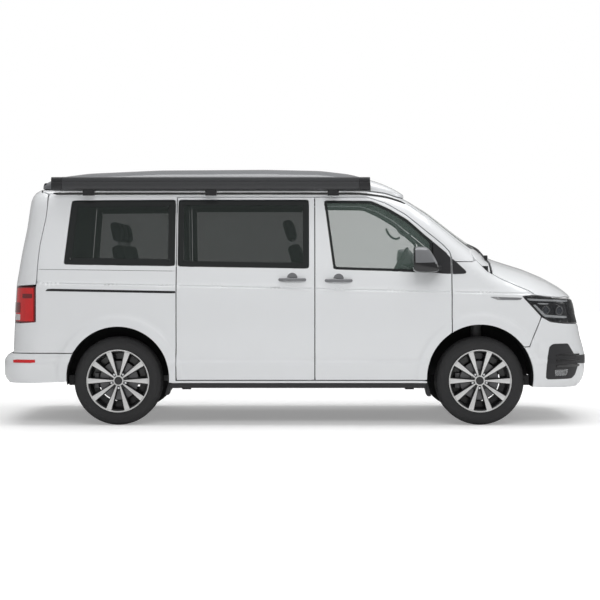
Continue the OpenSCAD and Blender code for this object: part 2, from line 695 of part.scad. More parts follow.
module awning_case() color("dimgray") {
    z0 = roof_z - 25;
    x0 = rear_x + 445;
    y0 = -hw + 150 - awning_d;
    along_x(x0, x0 + awning_l) polygon([
        [y0 + 8, z0 + 12], [y0, z0 + 30], [y0, z0 + awning_h - 34], [y0 + 12, z0 + awning_h - 8],
        [y0 + 30, z0 + awning_h], [y0 + awning_d, z0 + awning_h], [y0 + awning_d, z0 + 10],
        [y0 + awning_d - 15, z0]]);
    for (x = [x0 + 300, x0 + awning_l / 2, x0 + awning_l - 300])
        difference() {
            block(x - 40, x + 40, y0 + 30, -hw + 150, roof_z - 68, z0 + 20);
            envelope(0);
        }
}

// ---- wheels ---------------------------------------------------------------------------
// A wheel's profiles are drawn as radius and distance out from the tyre's middle plane
module turned(x, s) translate([x, s * wheel_y, axle_z]) rotate([-90 * s, 0, 0]) children();
module tyre(x, s) turned(x, s) rotate_extrude($fn = 96) polygon([
    [rim_r - 20, tyre_w / 2 - 14], [rim_r - 6, tyre_w / 2 - 4], [rim_r + 30, tyre_w / 2],
    [tyre_r - 34, tyre_w / 2 - 4], [tyre_r - 10, tyre_w / 2 - 22], [tyre_r, tyre_w / 2 - 48],
    [tyre_r, -tyre_w / 2 + 48], [tyre_r - 10, -tyre_w / 2 + 22], [tyre_r - 34, -tyre_w / 2 + 4],
    [rim_r + 30, -tyre_w / 2], [rim_r - 6, -tyre_w / 2 + 4], [rim_r - 20, -tyre_w / 2 + 14]]);
hub_face = 74;                    // spokes' outer face, out from the middle plane
disc_face = 30;                   // brake disc's outer face
module rim(x, s) turned(x, s) difference() {
    union() {
        rotate_extrude($fn = 96) polygon([
            [rim_r - 44, -tyre_w / 2 + 16], [rim_r - 20, -tyre_w / 2 + 16],
            [rim_r - 20, tyre_w / 2 - 14], [rim_r - 6, tyre_w / 2 - 4], [rim_r - 8, tyre_w / 2 + 2],
            [rim_r - 26, tyre_w / 2 - 10], [rim_r - 32, hub_face - 10], [rim_r - 44, hub_face - 40]]);
        for (i = [0:spokes - 1]) rotate([0, 0, 360 / spokes * (i + 0.5)])
            translate([0, 0, hub_face - 30]) linear_extrude(34)
                polygon([[50, -13], [rim_r - 30, -24], [rim_r - 30, 24], [50, 13]]);
        translate([0, 0, disc_face]) cylinder(r = 82, h = hub_face - disc_face);
        translate([0, 0, disc_face - 26]) cylinder(r = disc_r, h = 26);
        translate([0, 0, hub_face - 4]) cylinder(r = 42, h = 8);
    }
    translate([0, 0, disc_face - 30]) cylinder(r = stub_r + run, h = 60);
}
module corner_axle(s, x) {
    // stub axle, carrier and brake caliper, inside the rim
    rod_y(x, axle_z, stub_r, s > 0 ? wheel_y - 40 : -wheel_y - disc_face - 24,
        s > 0 ? wheel_y + disc_face + 24 : -wheel_y + 40);
    block(x - 60, x + 60, s > 0 ? wheel_y - 82 : -wheel_y + 12, s > 0 ? wheel_y - 12 : -wheel_y + 82,
        axle_z - 80, axle_z + 80);
    difference() {
        block(x - 196, x - 110, s > 0 ? wheel_y - 40 : -wheel_y - 36,
            s > 0 ? wheel_y + 36 : -wheel_y + 40, axle_z - 60, axle_z + 60);
        rod_y(x, axle_z, disc_r + 6, s > 0 ? wheel_y - 4 : -wheel_y - disc_face - 6,
            s > 0 ? wheel_y + disc_face + 6 : -wheel_y + 4);
        rod_y(x, axle_z, 130, s > 0 ? wheel_y - 60 : -wheel_y - 60, s > 0 ? wheel_y + 60 : -wheel_y + 60);
    }
    block(x - 150, x - 50, s > 0 ? wheel_y - 40 : -wheel_y + 14, s > 0 ? wheel_y - 14 : -wheel_y + 40,
        axle_z - 30, axle_z + 30);
}
module knuckle(s) color("gray") difference() {
    union() {
        corner_axle(s, F);
        rod_z(F, s * kingpin_y, kingpin_r + 14, axle_z - 120, axle_z + 120);
    }
    rod_z(F, s * kingpin_y, kingpin_r + run, axle_z - 121, axle_z + 121);
}
module front_subframe() color("dimgray") {
    for (s = [-1, 1]) {
        y0 = s > 0 ? 300 : -kingpin_y - 26;
        y1 = s > 0 ? kingpin_y + 26 : -300;
        rod_z(F, s * kingpin_y, kingpin_r, axle_z - 146, axle_z + 146);
        block(F - 40, F + 40, y0, y1, axle_z - 150, axle_z - 122);
        block(F - 34, F + 34, s > 0 ? 560 : -kingpin_y - 26, s > 0 ? kingpin_y + 26 : -560,
            axle_z + 122, axle_z + 150);
        rod_z(F, s * 600, 46, axle_z + 140, arch_top - liner_t - 12);
        block(F + 70, F + 460, s * 400 - 35, s * 400 + 35, floor_z - 60, floor_z + 20);
    }
    block(F - 160, F + 160, -420, 420, axle_z - 160, axle_z - 110);
    block(F + 70, F + 160, -420, 420, axle_z - 120, floor_z + 20);
}
module rear_axle() color("dimgray") {
    for (s = [-1, 1]) {
        corner_axle(s, R);
        block(R - 110, R + 560, s > 0 ? 550 : -612, s > 0 ? 612 : -550, axle_z - 20, axle_z + 24);
        block(R - 30, R + 50, s > 0 ? 600 : -wheel_y + 12, s > 0 ? wheel_y - 12 : -600,
            axle_z - 30, axle_z + 24);
        rod_z(R - 60, s * 560, 44, axle_z + 20, floor_z);
    }
    block(R + 470, R + 560, -600, 600, axle_z - 20, floor_z - 90);
}

// ---- under and inside -----------------------------------------------------------------
module engine_block() color("gray") {
    block(F + 200, F + 620, -365, 365, floor_z - 100, floor_z + 420);
    block(F + 160, F + 201, -60, 60, floor_z - 40, floor_z + 20);
}
module exhaust() color("gray") {
    rod_x(-250, floor_z - 50, 28, R + 620, F + 70);
    rod_x(-250, floor_z - 75, 68, R + 620, R + 1000);
    rod_x(250, floor_z - 75, 66, rear_x + 120, rear_x + 480);
    for (x = [R + 700, R + 920, F - 700]) block(x, x + 20, -256, -244, floor_z - 60, floor_z);
    for (x = [rear_x + 180, rear_x + 400]) block(x, x + 20, 244, 256, floor_z - 60, floor_z);
}
module dashboard() color("dimgray") {
    along_y(-hw + 150, hw - 150) polygon([
        [F - 420, 1010], [F - 440, 1180], [F - 400, 1270], [F - 100, 1330], [F + 40, 1290],
        [F + 40, 1100], [F - 250, 1000]]);
    translate([helm[0], helm_y, helm[1]]) rotate([0, helm_tilt, 0]) translate([0, 0, -250])
        difference() {
            cylinder(r = 26, h = 236);
            translate([0, 0, 176]) cylinder(r = 12 + run, h = 100);
        }
}
helm = [F - 590, 1300];
helm_y = 390;
helm_tilt = -62;
module steering_wheel() color("black")
    translate([helm[0], helm_y, helm[1]]) rotate([0, helm_tilt, 0]) {
        rotate_extrude() translate([helm_r - 14, 0]) circle(r = 14);
        translate([0, 0, -12]) cylinder(r = 60, h = 24);
        for (a = [0, 120, 240]) rotate([0, 0, a]) translate([40, -16, -5]) cube([helm_r - 54, 32, 10]);
        translate([0, 0, -70]) cylinder(r = 12, h = 70);
    }
module seat(x, y, w, back_lean) {
    // cushion, back and head restraint over a base box
    block(x - 240, x + 240, y - w / 2 + 60, y + w / 2 - 60, floor_z + floor_t, 780);
    block(x - 260, x + 270, y - w / 2, y + w / 2, 780, 920);
    translate([x - 200, y - w / 2, 900]) rotate([0, -back_lean, 0]) block(-70, 50, 0, w, -10, 620);
    translate([x - 200, y, 900]) rotate([0, -back_lean, 0]) {
        block(-45, 45, -135, 135, 650, 830);
        for (k = [-1, 1]) translate([0, k * 60, 600]) cylinder(r = 7, h = 60);
    }
}
module front_seats() color("dimgray") for (s = [-1, 1]) seat(F - 1130, s * 390, seat_w, 18);
module rear_bench() color("dimgray") {
    block(R + 60, R + 440, -seat_w - 20, seat_w + 20, floor_z + floor_t, 780);
    block(R + 20, R + 540, -seat_w - 80, seat_w + 80, 780, 920);
    translate([R + 90, 0, 900]) rotate([0, -12, 0]) {
        block(-80, 40, -seat_w - 80, seat_w + 80, -10, 600);
        for (k = [-1, 0, 1]) {
            block(-55, 30, k * 390 - 125, k * 390 + 125, 620, 790);
            for (j = [-1, 1]) translate([-12, k * 390 + j * 50, 580]) cylinder(r = 7, h = 60);
        }
    }
}
module door_rail() color("black") difference() {
    block(rear_x + 400, Q - 6, -hw - 4, -hw + 30, belt_z + 90, belt_z + 114);
    envelope(0);
}
module wipers() color("black") difference() {
    union() {
        for (y = [-560, 120]) translate([F + 60, y, 1436]) rotate([0, 36, 0])
            block(-30, 14, 0, 560, -4, 14);
        block(F + 40, F + 84, -640, 700, 1400, 1440);
    }
    envelope(0);
}

roof_panel();
side_panel_left();
side_panel_right();
floor_pan();
wheel_liners();
front_wings();
bonnet();
front_bumper();
rear_bumper();
tailgate();
tailgate_glass();
front_door_left();
front_door_right();
front_door_glass_left();
front_door_glass_right();
sliding_door();
side_windows();
windscreen();
headlamps();
tail_lamps();
grilles();
mirror_left();
mirror_right();
hinge_brackets();
door_rail();
awning_case();
pop_roof();
roof_canvas();
roof_rails();
color("black") tyre(F, 1);  // tyre_front_left
color("silver") rim(F, 1);  // wheel_front_left
color("black") tyre(F, -1);  // tyre_front_right
color("silver") rim(F, -1);  // wheel_front_right
color("black") tyre(R, 1);  // tyre_rear_left
color("silver") rim(R, 1);  // wheel_rear_left
color("black") tyre(R, -1);  // tyre_rear_right
color("silver") rim(R, -1);  // wheel_rear_right
knuckle(1);  // knuckle_left
knuckle(-1);  // knuckle_right
front_subframe();
rear_axle();
engine_block();
exhaust();
dashboard();
steering_wheel();
front_seats();
rear_bench();
sill_trims();
wipers();
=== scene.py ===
"""Camper van: the looks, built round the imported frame. Metres; X forwards, Y left, Z up."""
import math

import bpy
import numpy as np
from mathutils import Matrix, Vector
from mathutils.geometry import delaunay_2d_cdt


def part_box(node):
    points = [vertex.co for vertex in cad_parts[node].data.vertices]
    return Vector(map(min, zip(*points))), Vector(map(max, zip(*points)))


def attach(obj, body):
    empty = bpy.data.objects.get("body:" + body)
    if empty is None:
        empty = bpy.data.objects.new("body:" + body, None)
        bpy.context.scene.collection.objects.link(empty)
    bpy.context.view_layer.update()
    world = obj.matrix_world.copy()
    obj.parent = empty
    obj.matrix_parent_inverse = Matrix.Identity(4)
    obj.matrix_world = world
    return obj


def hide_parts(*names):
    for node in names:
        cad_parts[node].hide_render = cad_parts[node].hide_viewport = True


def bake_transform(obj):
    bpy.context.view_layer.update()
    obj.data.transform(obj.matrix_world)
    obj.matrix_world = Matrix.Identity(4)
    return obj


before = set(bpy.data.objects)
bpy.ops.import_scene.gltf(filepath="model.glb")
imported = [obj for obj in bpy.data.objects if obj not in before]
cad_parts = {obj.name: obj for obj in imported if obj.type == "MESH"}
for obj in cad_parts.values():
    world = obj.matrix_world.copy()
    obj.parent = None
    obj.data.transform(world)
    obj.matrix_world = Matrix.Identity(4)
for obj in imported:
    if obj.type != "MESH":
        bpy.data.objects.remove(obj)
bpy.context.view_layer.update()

# ---- driving sizes, from the frame ------------------------------------------------------
FRONT = sum(c[0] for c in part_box("tyre_front_left")) / 2      # front axle line
REAR = sum(c[0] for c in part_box("tyre_rear_left")) / 2        # rear axle line
AXLE_Z = sum(c[2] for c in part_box("tyre_front_left")) / 2
TYRE_R = (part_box("tyre_front_left")[1][2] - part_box("tyre_front_left")[0][2]) / 2
WHEEL_Y = sum(c[1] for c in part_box("tyre_front_left")) / 2
HALF_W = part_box("side_panel_left")[1][1]
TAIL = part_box("rear_bumper")[0][0]
ROOF_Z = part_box("roof_panel")[1][2]
PILLAR_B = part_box("sliding_door")[1][0] - 0.002
PILLAR_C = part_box("sliding_door")[0][0] + 0.002
ARCH_Z = AXLE_Z + 0.026
ARCH_R = {FRONT: 0.432, REAR: 0.415}
GAP = 0.007                         # width of a shut line
WORLD_LEVEL = 0.35
SKIN = 0.012                        # thickness of an outer skin
GLASS = 0.005                       # thickness of a pane


# ---- the body's surface ------------------------------------------------------------------
def eased(points, soft):
    """A smooth function through given points, its corners rounded over about soft metres."""
    pts = np.array(points, float)
    grid = np.arange(pts[0, 0] - 4 * soft, pts[-1, 0] + 4 * soft, 0.003)
    line = np.interp(grid, pts[:, 0], pts[:, 1])
    slope0 = (pts[1, 1] - pts[0, 1]) / (pts[1, 0] - pts[0, 0])
    slope1 = (pts[-1, 1] - pts[-2, 1]) / (pts[-1, 0] - pts[-2, 0])
    line += np.where(grid < pts[0, 0], (grid - pts[0, 0]) * slope0, 0)
    line += np.where(grid > pts[-1, 0], (grid - pts[-1, 0]) * slope1, 0)
    half = int(3 * soft / 0.003)
    kernel = np.exp(-0.5 * (np.arange(-half, half + 1) * 0.003 / soft) ** 2)
    kernel /= kernel.sum()
    padded = np.concatenate([
        line[0] - (line[1] - line[0]) * np.arange(half, 0, -1), line,
        line[-1] + (line[-1] - line[-2]) * np.arange(1, half + 1)])
    smooth = np.convolve(padded, kernel, "valid")
    return lambda v: np.interp(v, grid, smooth)


def smooth_max(a, b, k):
    """The larger of two fields, blended over k metres where they meet."""
    h = np.maximum(k - np.abs(a - b), 0) / k
    return np.maximum(a, b) + h * h * k / 4


# how far the side lies in from the widest line, over height
side_inset = eased([
    (0.27, 0.046), (0.31, 0.032), (0.345, 0.024), (0.45, 0.010), (0.495, 0.003), (0.512, 0.002),
    (0.534, 0.016), (0.60, 0.013), (0.75, 0.006), (1.00, 0.0), (1.095, 0.003), (1.118, 0.012),
    (1.25, 0.024), (1.30, 0.030), (1.569, 0.080), (1.85, 0.137), (1.90, 0.150), (2.0, 0.175)], 0.007)
# how far the side draws in towards the ends, over length
side_taper = eased([
    (TAIL, 0.020), (TAIL + 0.16, 0.010), (TAIL + 0.35, 0.003), (TAIL + 0.6, 0.0), (FRONT, 0.0),
    (FRONT + 0.38, 0.008), (FRONT + 0.56, 0.030), (FRONT + 0.68, 0.065), (FRONT + 0.80, 0.12),
    (FRONT + 0.9, 0.20)], 0.04)
# how far the tail lies ahead of its rearmost point, over height, and how it curves over width
tail_line = eased([
    (0.30, 0.10), (0.352, 0.03), (0.40, 0.004), (0.50, 0.002), (0.555, 0.012), (0.592, 0.078),
    (0.84, 0.088), (1.141, 0.104), (1.40, 0.148), (1.61, 0.192), (1.90, 0.234), (2.0, 0.26)], 0.012)
tail_crown = eased([(0, 0.0), (0.39, 0.004), (0.65, 0.016), (0.80, 0.045), (0.88, 0.080), (0.95, 0.125)],
                   0.03)
# the height of the roof, windscreen and bonnet on the centre line, and how they fall off to the sides
top_line = eased([
    (TAIL, ROOF_Z - 0.02), (TAIL + 0.25, ROOF_Z), (FRONT - 1.0, ROOF_Z), (FRONT - 0.76, ROOF_Z - 0.020),
    (FRONT - 0.581, ROOF_Z - 0.070), (FRONT - 0.406, ROOF_Z - 0.169), (FRONT - 0.141, ROOF_Z - 0.370),
    (FRONT - 0.004, 1.480), (FRONT + 0.107, 1.386), (FRONT + 0.215, 1.346), (FRONT + 0.44, 1.276),
    (FRONT + 0.604, 1.208), (FRONT + 0.723, 1.141), (FRONT + 0.80, 1.082), (FRONT + 0.86, 1.02),
    (FRONT + 0.95, 0.90)], 0.022)
roof_crown = eased([
    (0, 0.0), (0.35, 0.003), (0.60, 0.014), (0.74, 0.032), (0.80, 0.055), (0.9, 0.13)], 0.03)
nose_crown = eased([
    (0, 0.0), (0.152, 0.003), (0.432, 0.022), (0.622, 0.055), (0.752, 0.098), (0.862, 0.155),
    (0.938, 0.22), (1.05, 0.36)], 0.04)
nose_share = eased([(FRONT - 0.75, 0.0), (FRONT - 0.45, 0.55), (FRONT, 0.9), (FRONT + 0.2, 1.0)], 0.05)
# the nose: its reach ahead of the front axle over height, and how it wraps round over width
nose_line = eased([
    (0.26, 0.83), (0.32, 0.905), (0.365, 0.934), (0.44, 0.949), (0.56, 0.948), (0.64, 0.930),
    (0.713, 0.908), (0.812, 0.890), (0.90, 0.868), (1.015, 0.848), (1.10, 0.835), (1.2, 0.81)], 0.016)
nose_wrap = eased([
    (0, 0.0), (0.20, 0.002), (0.39, 0.010), (0.582, 0.034), (0.712, 0.078), (0.812, 0.14),
    (0.882, 0.21), (0.96, 0.32)], 0.05)


def flare(x, z):
    """The raised band round each wheel arch."""
    out = 0.0
    for cx, r in ARCH_R.items():
        d = np.hypot(x - cx, np.maximum(z - ARCH_Z, 0)) - r
        out = out + 0.015 / (1 + np.exp((d - 0.086) / 0.007))
    return out


CREASE = 1.094                      # height of the pressed line along the belt, 0.5 m behind the front axle


def crease_lift(x, z):
    """How much the pressed line and the shape near it drop towards the front."""
    return 0.024 * (x - FRONT + 0.5) * np.exp(-((z - 1.11) / 0.14) ** 2)


def body_f(x, y, z):
    """Negative inside the closed body, zero on its surface."""
    ay = np.abs(y)
    lift = crease_lift(x, z)
    groove = 0.009 * np.exp(-((z + lift - CREASE) / 0.006) ** 2)
    side = ay - (HALF_W - 0.002 - side_inset(z + lift) - side_taper(x) + flare(x, z) - groove)
    tail = (TAIL + tail_line(z) + tail_crown(ay)) - x
    nose = x - (FRONT + nose_line(z) - nose_wrap(ay))
    share = nose_share(x)
    top = z - (top_line(x) - roof_crown(ay) * (1 - share) - nose_crown(ay) * share)
    around = smooth_max(smooth_max(side, tail, 0.17), nose, 0.16)
    return smooth_max(around, top * 0.9, 0.05 + 0.05 * (1 - share))


def body_normal(p):
    """Outward unit normals of the body's surface at points p."""
    e = 0.0012
    n = np.stack([
        body_f(p[:, 0] + e, p[:, 1], p[:, 2]) - body_f(p[:, 0] - e, p[:, 1], p[:, 2]),
        body_f(p[:, 0], p[:, 1] + e, p[:, 2]) - body_f(p[:, 0], p[:, 1] - e, p[:, 2]),
        body_f(p[:, 0], p[:, 1], p[:, 2] + e) - body_f(p[:, 0], p[:, 1], p[:, 2] - e)], 1)
    return n / np.maximum(np.linalg.norm(n, axis=1, keepdims=True), 1e-9)


def cast(origin, way, reach):
    """The body surface's points along rays that start inside it."""
    lo = np.zeros(len(origin))
    hi = np.full(len(origin), reach)
    for _ in range(26):
        mid = (lo + hi) / 2
        p = origin + way * mid[:, None]
        inside = body_f(p[:, 0], p[:, 1], p[:, 2]) < 0
        lo = np.where(inside, mid, lo)
        hi = np.where(inside, hi, mid)
    return origin + way * ((lo + hi) / 2)[:, None]


def from_side(points, s=1):
    """Places on one side of the body, from their x and z."""
    q = np.array([p[:2] for p in points], float)
    o = np.stack([q[:, 0], np.zeros(len(q)), q[:, 1]], 1)
    return cast(o, np.tile([0.0, s, 0], (len(q), 1)), 1.3)


def from_end(points, s=1):
    """Places on the nose (s = 1) or the tail (s = -1), from their y and z."""
    q = np.array([p[:2] for p in points], float)
    o = np.stack([np.full(len(q), REAR if s < 0 else FRONT), q[:, 0], q[:, 1]], 1)
    return cast(o, np.tile([float(s), 0, 0], (len(q), 1)), 1.6)


def from_above(points):
    """Places on the top of the body, from their x and y."""
    q = np.array([p[:2] for p in points], float)
    o = np.stack([q[:, 0], q[:, 1], np.full(len(q), 0.95)], 1)
    return cast(o, np.tile([0.0, 0, 1], (len(q), 1)), 1.3)


CORE = 0.45                          # the belt is cast from a spine this far in from the ends
TURN = 0.5 * math.pi * CORE          # length of belt round a corner
TAIL_X = TAIL + 0.50                 # where the rear corners end and the sides start
NOSE_X = FRONT + 0.35                # where the sides end and the nose corners start
SIDE_L = NOSE_X - TAIL_X
DOME_Z = 1.55                        # above this height the dome leans its rays back over the roof
DOME_R = 0.34
HOOD_Z = 0.80
HOOD_R = 0.45


def belt_ways(w):
    """Ray starts and ways round the body: w runs from the tail's middle round a corner, along a
    side and round the nose. The sign of w picks the side."""
    s = np.where(w < 0, -1.0, 1.0)
    a = np.abs(w)
    past = np.clip(a - CORE, 0, None)
    turn = np.clip(past, 0, TURN)
    along = np.clip(past - TURN, 0, SIDE_L)
    turn2 = np.clip(past - TURN - SIDE_L, 0, TURN)
    end = np.clip(past - 2 * TURN - SIDE_L, 0, CORE)
    phi = (turn + turn2) / CORE
    return TAIL_X + along, s * (np.minimum(a, CORE) - end), -np.cos(phi), s * np.sin(phi)


def belt(q):
    ox, oy, dx, dy = belt_ways(q[:, 0])
    o = np.stack([ox, oy, q[:, 1]], 1)
    return cast(o, np.stack([dx, dy, np.zeros(len(q))], 1), 1.3)


def belt_place(p):
    x, y, z = p[:, 0], p[:, 1], p[:, 2]
    s = np.where(y < 0, -1.0, 1.0)
    ay = np.abs(y)
    rear = np.where(ay < CORE, ay, CORE + CORE * np.arctan2(ay - CORE, TAIL_X - x))
    side = CORE + TURN + x - TAIL_X
    front = CORE + TURN + SIDE_L + np.where(
        ay < CORE, TURN + CORE - ay, CORE * np.arctan2(x - NOSE_X, ay - CORE))
    a = np.where(x < TAIL_X, rear, np.where(x > NOSE_X, front, side))
    return np.stack([s * a, z], 1)


def nose_belt_place(p):
    """Belt places for a panel across the nose: one side's run on without a break."""
    q = belt_place(p)
    full = 2 * (2 * CORE + 2 * TURN + SIDE_L)
    q[:, 0] = np.where(q[:, 0] < 0, q[:, 0] + full, q[:, 0])
    return q


def nose_belt(q):
    full = 2 * (2 * CORE + 2 * TURN + SIDE_L)
    w = np.where(q[:, 0] > full / 2, q[:, 0] - full, q[:, 0])
    return belt(np.stack([w, q[:, 1]], 1))


def dome(q):
    """As the belt, but above DOME_Z the rays lean back until they point straight up."""
    ox, oy, dx, dy = belt_ways(q[:, 0])
    lean = np.clip((q[:, 1] - DOME_Z) / DOME_R, 0, math.pi / 2)
    o = np.stack([ox, oy, np.minimum(q[:, 1], DOME_Z)], 1)
    return cast(o, np.stack([dx * np.cos(lean), dy * np.cos(lean), np.sin(lean)], 1), 1.3)


def dome_place(p):
    q = belt_place(p)
    w = np.abs(q[:, 0])
    oy = np.minimum(w, CORE)
    reach = np.where(w < CORE, TAIL_X - p[:, 0], np.hypot(TAIL_X - p[:, 0], np.abs(p[:, 1]) - oy))
    lean = np.arctan2(p[:, 2] - DOME_Z, reach)
    q[:, 1] = np.where(p[:, 2] > DOME_Z, DOME_Z + DOME_R * lean, p[:, 2])
    return q


def hood(q):
    """Rays in upright planes along the van, turning from forwards to upwards and then moving back."""
    v, y = q[:, 0], q[:, 1]
    angle = np.clip(v / HOOD_R, 0, math.pi / 2)
    back = np.clip(v - HOOD_R * math.pi / 2, 0, None)
    o = np.stack([NOSE_X - back, y, np.full(len(v), HOOD_Z)], 1)
    return cast(o, np.stack([np.cos(angle), np.zeros(len(v)), np.sin(angle)], 1), 1.3)


def hood_place(p):
    dx, dz = p[:, 0] - NOSE_X, p[:, 2] - HOOD_Z
    v = np.where(dx > 0, HOOD_R * np.arctan2(dz, np.maximum(dx, 1e-6)), HOOD_R * math.pi / 2 - dx)
    return np.stack([v, p[:, 1]], 1)


def top(q):
    return from_above(q)


def top_place(p):
    return p[:, :2].copy()


# ---- panels ------------------------------------------------------------------------------
def runs(points, step=0.01):
    """A line through points, cut into short steps, without its last point."""
    out = []
    for a, b in zip(points, points[1:]):
        a, b = np.array(a[:2], float), np.array(b[:2], float)
        m = max(1, int(np.linalg.norm(b - a) / step))
        out += [a + (b - a) * k / m for k in range(m)]
    return np.array(out)


def closed(points):
    return list(points) + [points[0]]


def softened(loop, r):
    """A closed outline with its corners rounded to about r, and few points where it runs straight."""
    ds = 0.005
    p = np.vstack([loop, loop[:1]])
    d = np.concatenate([[0], np.cumsum(np.linalg.norm(np.diff(p, axis=0), axis=1))])
    n = max(24, int(d[-1] / ds))
    t = np.linspace(0, d[-1], n, endpoint=False)
    u = np.stack([np.interp(t, d, p[:, 0]), np.interp(t, d, p[:, 1])], 1)
    if r > 0:
        sigma = r * 0.55 / (d[-1] / n)
        half = int(3 * sigma) + 1
        k = np.exp(-0.5 * (np.arange(-half, half + 1) / sigma) ** 2)
        k /= k.sum()
        wrap = np.concatenate([u[-half:], u, u[:half]])
        u = np.stack([np.convolve(wrap[:, i], k, "valid") for i in (0, 1)], 1)
    e = np.roll(u, -1, 0) - u
    bend = np.abs(np.angle(np.exp(1j * np.diff(np.angle(e[:, 0] + 1j * e[:, 1]), append=0))))
    keep, turn, run = [], 0.0, 0.0
    for i in range(n):
        turn += bend[i]
        run += d[-1] / n
        if turn > 0.16 or run > 0.034:
            keep.append(i)
            turn = run = 0.0
    return u[keep]


def area(loop):
    x, y = loop[:, 0], loop[:, 1]
    return 0.5 * np.sum(x * np.roll(y, -1) - y * np.roll(x, -1))


def grown(loop, d):
    """The outline moved out by d, or in when d is negative."""
    loop = loop if area(loop) > 0 else loop[::-1]
    e = np.roll(loop, -1, 0) - loop
    e /= np.maximum(np.linalg.norm(e, axis=1, keepdims=True), 1e-9)
    n = np.stack([e[:, 1], -e[:, 0]], 1)
    m = n + np.roll(n, 1, 0)
    m /= np.maximum(np.linalg.norm(m, axis=1, keepdims=True), 1e-9)
    c = np.maximum(np.sum(m * n, 1), 0.5)
    return loop + m * (d / c)[:, None]


def within(pts, loop):
    x, y = pts[:, 0][:, None], pts[:, 1][:, None]
    a, b = loop, np.roll(loop, -1, 0)
    hit = ((a[:, 1] > y) != (b[:, 1] > y)) & (
        x < (b[:, 0] - a[:, 0]) * (y - a[:, 1]) / (b[:, 1] - a[:, 1] + 1e-12) + a[:, 0])
    return hit.sum(1) % 2 == 1


def feature_rows():
    """Belt places along the pressed lines and round the arch flares, where the panels need points."""
    rows = []
    x = np.arange(TAIL_X - 0.1, NOSE_X + 0.3, 0.03)
    w = x - TAIL_X + CORE + TURN
    for d in (-0.018, -0.011, -0.007, -0.0035, 0.0, 0.0035, 0.007, 0.011, 0.018):
        z = np.full_like(x, CREASE)
        for _ in range(30):
            z = CREASE + d - crease_lift(x, z)
        rows += [np.stack([w, z], 1)]
    for z in (0.503, 0.511, 0.518, 0.526, 0.534, 0.545):
        rows += [np.stack([w, np.full_like(w, z)], 1)]
    for cx, r in ARCH_R.items():
        for d in (0.05, 0.066, 0.078, 0.088, 0.10, 0.118):
            t = np.linspace(0, math.pi, 64)
            ax, az = cx + (r + d) * np.cos(t), ARCH_Z + (r + d) * np.sin(t)
            rows += [np.stack([ax - TAIL_X + CORE + TURN, az], 1)]
    return np.concatenate(rows)


def filled(outer, holes, step, extra=None):
    """Points and triangles of a flat region, its loops first in the order given."""
    loops = [outer] + list(holes)
    lo, hi = outer.min(0), outer.max(0)
    xs, ys = np.arange(lo[0], hi[0], step), np.arange(lo[1], hi[1], step)
    grid = np.stack(np.meshgrid(xs, ys), -1).reshape(-1, 2)
    keep = within(grid, grown(outer, -step * 0.45))
    for hole in holes:
        keep &= ~within(grid, grown(hole, step * 0.45))
    grid = grid[keep]
    if extra is not None:
        good = within(extra, grown(outer, -0.006))
        for hole in holes:
            good &= ~within(extra, grown(hole, 0.006))
        extra = extra[good]
        if len(extra):
            near = np.array([np.abs(extra - g).sum(1).min() for g in grid])
            grid = np.concatenate([grid[near > 0.012], extra])
    pts = np.concatenate(loops + [grid])
    edges, at = [], 0
    for loop in loops:
        n = len(loop)
        edges += [(at + i, at + (i + 1) % n) for i in range(n)]
        at += n
    v, _, f, _, _, _ = delaunay_2d_cdt([Vector(p) for p in pts], edges, [], 0, 1e-7)
    v = np.array([tuple(p) for p in v])
    f = np.array([t for t in f if len(t) == 3])
    mid = v[f].mean(1)
    good = within(mid, outer)
    for hole in holes:
        good &= ~within(mid, hole)
    return v, f[good]


def mesh_piece(name, verts, faces, body, mats, face_mats=None):
    me = bpy.data.meshes.new(name)
    me.from_pydata([tuple(map(float, v)) for v in verts], [], [tuple(map(int, f)) for f in faces])
    ob = bpy.data.objects.new(name, me)
    bpy.context.collection.objects.link(ob)
    for m in mats:
        me.materials.append(m)
    if face_mats is not None:
        me.polygons.foreach_set("material_index", list(map(int, face_mats)))
    me.update()
    if body:
        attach(ob, body)
    return ob


